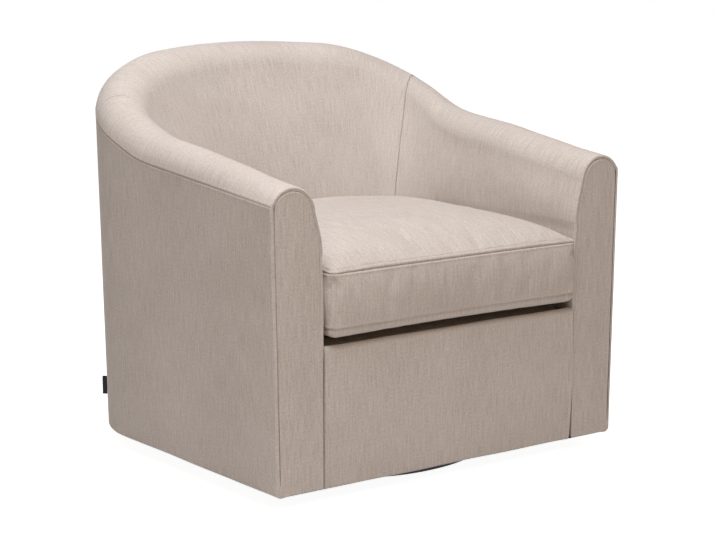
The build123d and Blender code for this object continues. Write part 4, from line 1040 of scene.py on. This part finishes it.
def makeSlider():
    # cast slider: a rounded block with a bridge over it, and a flat pull with an eye that hangs from the bridge
    form = {"bearing": 72.0, "radius": 496.2, "length": 9.0, "height": 11.0, "thick": 2.4, "pullLong": 18.0,
            "pullWide": 5.0, "pullThick": 1.0, "pullLean": .02, "eye": 1.3, "eyeDrop": 6.4, "eyeSink": .3,
            "bridge": .7, "bridgeReach": 2.4, "bridgeTall": 1.25, "bridgeDeep": .75, "bridgeDrop": 4.2,
            "bridgeOut": .2}
    turn = np.radians(form["bearing"])
    tangent = np.array([-np.sin(turn), np.cos(turn), 0])
    outward = np.array([np.cos(turn), np.sin(turn), 0])
    upward = np.array([0, 0, 1.0])
    middle = roundPlace(form["radius"], turn, zipForm["middle"])
    tilt = np.linspace(-pi / 2, pi / 2, 17)[1:-1, None]
    spin = np.linspace(0, 2 * pi, 33)[None, :-1]
    body = middle + (form["length"] / 2 * boxy(np.cos(tilt)) * boxy(np.cos(spin)))[..., None] * tangent \
        + (form["height"] / 2 * boxy(np.cos(tilt)) * boxy(np.sin(spin)))[..., None] * upward \
        + (form["thick"] / 2 * boxy(np.sin(tilt)) + 0 * spin)[..., None] * outward
    dress(loftPiece("zipSlider", body), "zip_slider", "zip_metal", "zip_slider")
    eyeAt = middle - form["eyeDrop"] * upward + (form["thick"] / 2 - form["eyeSink"]) * outward
    arch = np.linspace(0, pi, 15)[:, None, None]
    girth = np.linspace(0, 2 * pi, 11)[None, :-1, None]
    reach = form["bridgeReach"] + form["bridge"] * np.cos(girth)
    foot = middle - form["bridgeDrop"] * upward + form["bridgeOut"] * outward
    hoop = foot - form["bridgeTall"] * reach * np.cos(arch) * upward \
        + form["bridgeDeep"] * reach * np.sin(arch) * outward + form["bridge"] * np.sin(girth) * tangent
    dress(loftPiece("zipBridge", hoop), "zip_slider", "zip_metal")
    turns = np.linspace(0, 2 * pi, 49)[:-1]
    wide = form["pullWide"] / 2
    low = np.where(np.sin(turns) < 0, form["pullLong"] - 2 * wide, 0)
    rim = np.stack([wide * np.cos(turns), wide * np.sin(turns) - low], -1)
    hole = form["eye"] * np.stack([np.cos(turns), np.sin(turns)], -1)
    half = form["pullThick"] / 2
    ringShare = np.array([0, .06, .5, .94, 1, 1, .94, .5, .06, 0])
    ringDeep = half * np.array([.5, 1, .7, 1, .5, -.5, -1, -.7, -1, -.5])
    flat = hole[:, None] + (rim - hole)[:, None] * ringShare[None, :, None]
    pull = eyeAt + flat[..., :1] * tangent + flat[..., 1:] * upward \
        + (ringDeep[None, :, None] - form["pullLean"] * flat[..., 1:]) * outward
    dress(ringPiece("zipPull", pull), "zip_slider", "zip_metal")


makeZip()
makeSlider()
print("zip: tape, coil and slider")


# Seat platform under the cushion
deckForm = {"gap": 2.0, "front": frontY + 70.4, "corner": 6.0, "span": 540.0, "cloth": 1.2, "slack": .9,
            "slackEdge": 50.0, "springX": 96.0, "springY": 120.0, "padGap": 2.6, "padFoot": .4, "padRound": 1.2,
            "padRoundRun": 9.0}


def slabPiece(name, upper, lower):
    # two matching grids joined round their borders
    side = upper.shape[0]
    points = np.concatenate([upper.reshape(-1, 3), lower.reshape(-1, 3)])
    return meshPiece(name, points, cushionFaces(side, 2)[0], points[:, :2])


def makeDeck():
    # lining cloth that sinks a little between the springs, over a thin foam pad with a soft edge
    form = deckForm
    outline = insetPlan(seat, form["gap"])
    share = spread(0, form["span"], 12) / form["span"]
    plan = filledPlan(planSides(outline, form["front"], 0.0, form["corner"]), share)
    x, y = plan[..., 0], plan[..., 1]
    nearest = planEdge(outline, form["front"], 0.0, form["corner"], x, y)[2]
    between = np.cos(2 * pi * x / form["springX"]) * np.cos(2 * pi * y / form["springY"])
    top = deckZ - form["slack"] * ease(nearest / form["slackEdge"]) * (.6 + .4 * between)
    cloth = slabPiece("deckCloth", raised(plan, top), raised(plan, top - form["cloth"]))
    dress(cloth, "chair", "platform_cloth", "deck_cloth")
    soft = form["padRound"] * (1 - domed(nearest, form["padRoundRun"]))
    padTop, padLow = deckZ - form["padGap"] - soft, tuckZ + form["padFoot"] + soft
    pad = slabPiece("deckPad", raised(plan, padTop), raised(plan, padLow))
    dress(pad, "chair", "foam", "deck_pad")


makeDeck()
print("deck: pad and lining cloth")


# Underside, tag and webbing
dustForm = {"inset": 3.9, "front": frontY + 6.4, "corner": 6.0, "hole": 178.0, "thick": .8, "sag": 1.2,
            "frameFoot": 33.0, "gap": .1}


def makeDustCover():
    # thin cloth between a round hole and the outline, in rays from the swivel axis, with a slight sag between
    sides = planSides(insetPlan(tub, dustForm["inset"]), dustForm["front"], 0.0, dustForm["corner"])
    line = along(planLoop(sides), np.linspace(0, 1, 1200))
    bearing = np.arctan2(line[:, 1], line[:, 0])
    order = np.argsort(bearing)
    angle = np.linspace(-pi, pi, 241)[:-1]
    reach = np.interp(angle, bearing[order], np.hypot(line[:, 0], line[:, 1])[order], period=2 * pi)
    share = np.linspace(0, 1, 15)
    radius = dustForm["hole"] + (reach - dustForm["hole"])[:, None] * share
    sag = dustForm["sag"] * np.sin(pi * share) ** 2 * (.7 + .3 * np.cos(7 * angle))[:, None]
    top = dustForm["frameFoot"] - dustForm["gap"] - sag
    flat = radius[..., None] * np.stack([np.cos(angle), np.sin(angle)], -1)[:, None]
    loops = np.concatenate([raised(flat, top), raised(flat, top - dustForm["thick"])[:, ::-1]], 1)
    cover = ringPiece("dustCover", loops, loops[..., :2])
    dress(cover, "chair", "dust_cloth", "dust_cover")


def makeTag():
    # blank woven tape folded double: a rounded slab carried up the seam, its free edge a little wavy
    form = {"reach": 9.0, "tall": 35.0, "low": 88.0, "thick": 1.1, "gap": .4, "pinch": .18, "wave": .35,
            "wavePitch": 31.0}
    cut = wallSlices(np.array([wholeRun - splitRun]))
    up = np.linspace(0, form["tall"], 15)[:, None]
    fold = np.linspace(pi / 2, -pi / 2, 9)
    half = form["thick"] / 2
    tip = form["reach"] - half
    flank = tip * np.array([0, .3, .6])
    out = np.concatenate([flank, tip + half * np.cos(fold), flank[::-1]])
    side = np.concatenate([np.full(3, half), half * np.sin(fold), np.full(3, -half)])
    side = side * np.where(out < 1, 1, 1 - form["pinch"] + form["pinch"] * np.cos(out))
    root = wallAt(cut, form["low"] + form["tall"]) - form["gap"]
    wave = form["wave"] * np.sin(2 * pi * up / form["wavePitch"]) * (out / form["reach"]) ** 2
    heading = np.array([cut["side"][0, 0] * cut["hx"][0, 0], cut["hy"][0, 0]])
    across = np.array([-heading[1], heading[0]])
    base = np.array([cut["side"][0, 0] * cut["x"][0, 0], cut["y"][0, 0]])
    flat = base + (root - out[None, :, None]) * heading + (side[None] + wave)[..., None] * across
    z = np.broadcast_to(form["low"] + up, flat.shape[:2])
    uv = np.stack(np.broadcast_arrays(out[None], z), -1)
    dress(loftPiece("sideTag", raised(flat, z), uv), "chair", "tag", "side_tag")


def makeWebbing():
    # elastic straps round the inside of the back posts: a flat section with soft edges carried along the arc
    form = {"inset": 34.3, "thick": 2.0, "wide": 60.0, "low": 300.0, "pitch": 85.0, "count": 4, "end": 64.5,
            "spare": 20.0}
    start = np.radians(form["end"]) - form["spare"] / tubForm["back"]
    angle = np.linspace(start, pi - start, 61)[:, None]
    hem = np.array([0, .6, 2])
    edge = np.concatenate([hem, [form["wide"] / 2], form["wide"] - hem[::-1]])
    bulge = np.array([.25, .8, 1, 1, 1, .8, .25])
    rise = np.concatenate([edge, edge[::-1]])
    deep = form["inset"] + form["thick"] * np.concatenate([.5 - .5 * bulge, .5 + .5 * bulge[::-1]])
    for strap in range(form["count"]):
        z = form["low"] + form["pitch"] * strap + rise
        radius = tubForm["back"] - deep
        x, y = radius * np.cos(angle), tub["backY"] + radius * np.sin(angle)
        loops = np.stack(np.broadcast_arrays(x, y, z), -1)
        uv = np.stack(np.broadcast_arrays(angle * tubForm["back"], z), -1)
        dress(loftPiece("webbing%d" % (strap + 1), loops, uv), "chair", "webbing", "back_webbing")


makeDustCover()
makeTag()
makeWebbing()
print("underside: dust cover, tag and webbing")


# Floor, light and camera
def makeCamera():
    view = {"lens": 106.4, "place": (-2.3026, -3.1503, 1.0472), "turn": (79.582, 0, -36.621)}
    data = bpy.data.cameras.new("photoCamera")
    data.lens = view["lens"]
    data.sensor_width = 36
    camera = bpy.data.objects.new("photoCamera", data)
    camera.location = view["place"]
    camera.rotation_euler = np.radians(view["turn"])
    bpy.context.scene.collection.objects.link(camera)
    bpy.context.scene.camera = camera


def makeLight():
    aimAt = Vector((0, 0, .4))
    lamps = {"topLight": {"place": (-.6, -.5, 2.65), "size": 1.8, "power": 82, "tint": "EDF3FD"},
             "frontLight": {"place": (-1.0, -2.7, 2.1), "size": .8, "power": 23, "tint": "FFF1EA"}}
    for name, lamp in lamps.items():
        data = bpy.data.lights.new(name, "AREA")
        data.size = lamp["size"]
        data.energy = lamp["power"]
        data.color = hexColour(lamp["tint"])[:3]
        light = bpy.data.objects.new(name, data)
        light.location = lamp["place"]
        heading = aimAt - Vector(lamp["place"])
        light.rotation_euler = heading.to_track_quat("-Z", "Y").to_euler()
        bpy.context.scene.collection.objects.link(light)


def seenDirectly(tree):
    # 1 for what the camera sees straight, in gloss or through glass, else 0
    path = addNode(tree, "ShaderNodeLightPath")
    camera, gloss, glass = (path.outputs["Is %s Ray" % kind] for kind in ("Camera", "Glossy", "Transmission"))
    either = addNode(tree, "ShaderNodeMath", {0: camera, 1: gloss}, operation="MAXIMUM").outputs[0]
    return addNode(tree, "ShaderNodeMath", {0: either, 1: glass}, operation="MAXIMUM").outputs[0]


def makeWorld():
    world = bpy.data.worlds.new("studio")
    world.use_nodes = True
    tree = world.node_tree
    tree.nodes.clear()
    soft = addNode(tree, "ShaderNodeBackground", {"Color": hexColour("FFE2C2"), "Strength": .23})
    white = addNode(tree, "ShaderNodeBackground", {"Color": hexColour("FFFFFF"), "Strength": 1.0})
    both = addNode(tree, "ShaderNodeMixShader", {0: seenDirectly(tree), 1: soft.outputs[0],
                                                 2: white.outputs[0]})
    addNode(tree, "ShaderNodeOutputWorld", {"Surface": both.outputs[0]})
    bpy.context.scene.world = world


def makeFloor():
    # pale floor that keeps the shadow; where the camera sees it, it glows a little, so that it meets the white
    half = 6000
    corners = np.array([(-half, -half, 0), (half, -half, 0), (half, half, 0), (-half, half, 0)])
    floor = meshPiece("floor", corners, np.array([[0, 1, 2, 3]]))
    material = bpy.data.materials.new("paleFloor")
    material.use_nodes = True
    tree = material.node_tree
    tree.nodes.clear()
    matt = addNode(tree, "ShaderNodeBsdfDiffuse", {"Color": hexColour("E6E6E6")})
    dim = addNode(tree, "ShaderNodeBsdfDiffuse", {"Color": hexColour("BCBCBC")})
    glow = addNode(tree, "ShaderNodeEmission", {"Color": hexColour("FFFFFF"), "Strength": .94})
    bright = addNode(tree, "ShaderNodeAddShader", {0: dim.outputs[0], 1: glow.outputs[0]})
    both = addNode(tree, "ShaderNodeMixShader", {0: seenDirectly(tree), 1: matt.outputs[0],
                                                 2: bright.outputs[0]})
    addNode(tree, "ShaderNodeOutputMaterial", {"Surface": both.outputs[0]})
    floor.data.materials.append(material)


makeCamera()
makeLight()
makeWorld()
makeFloor()
bpy.context.scene.view_settings.view_transform = "Standard"
print("stage: floor, light and camera")
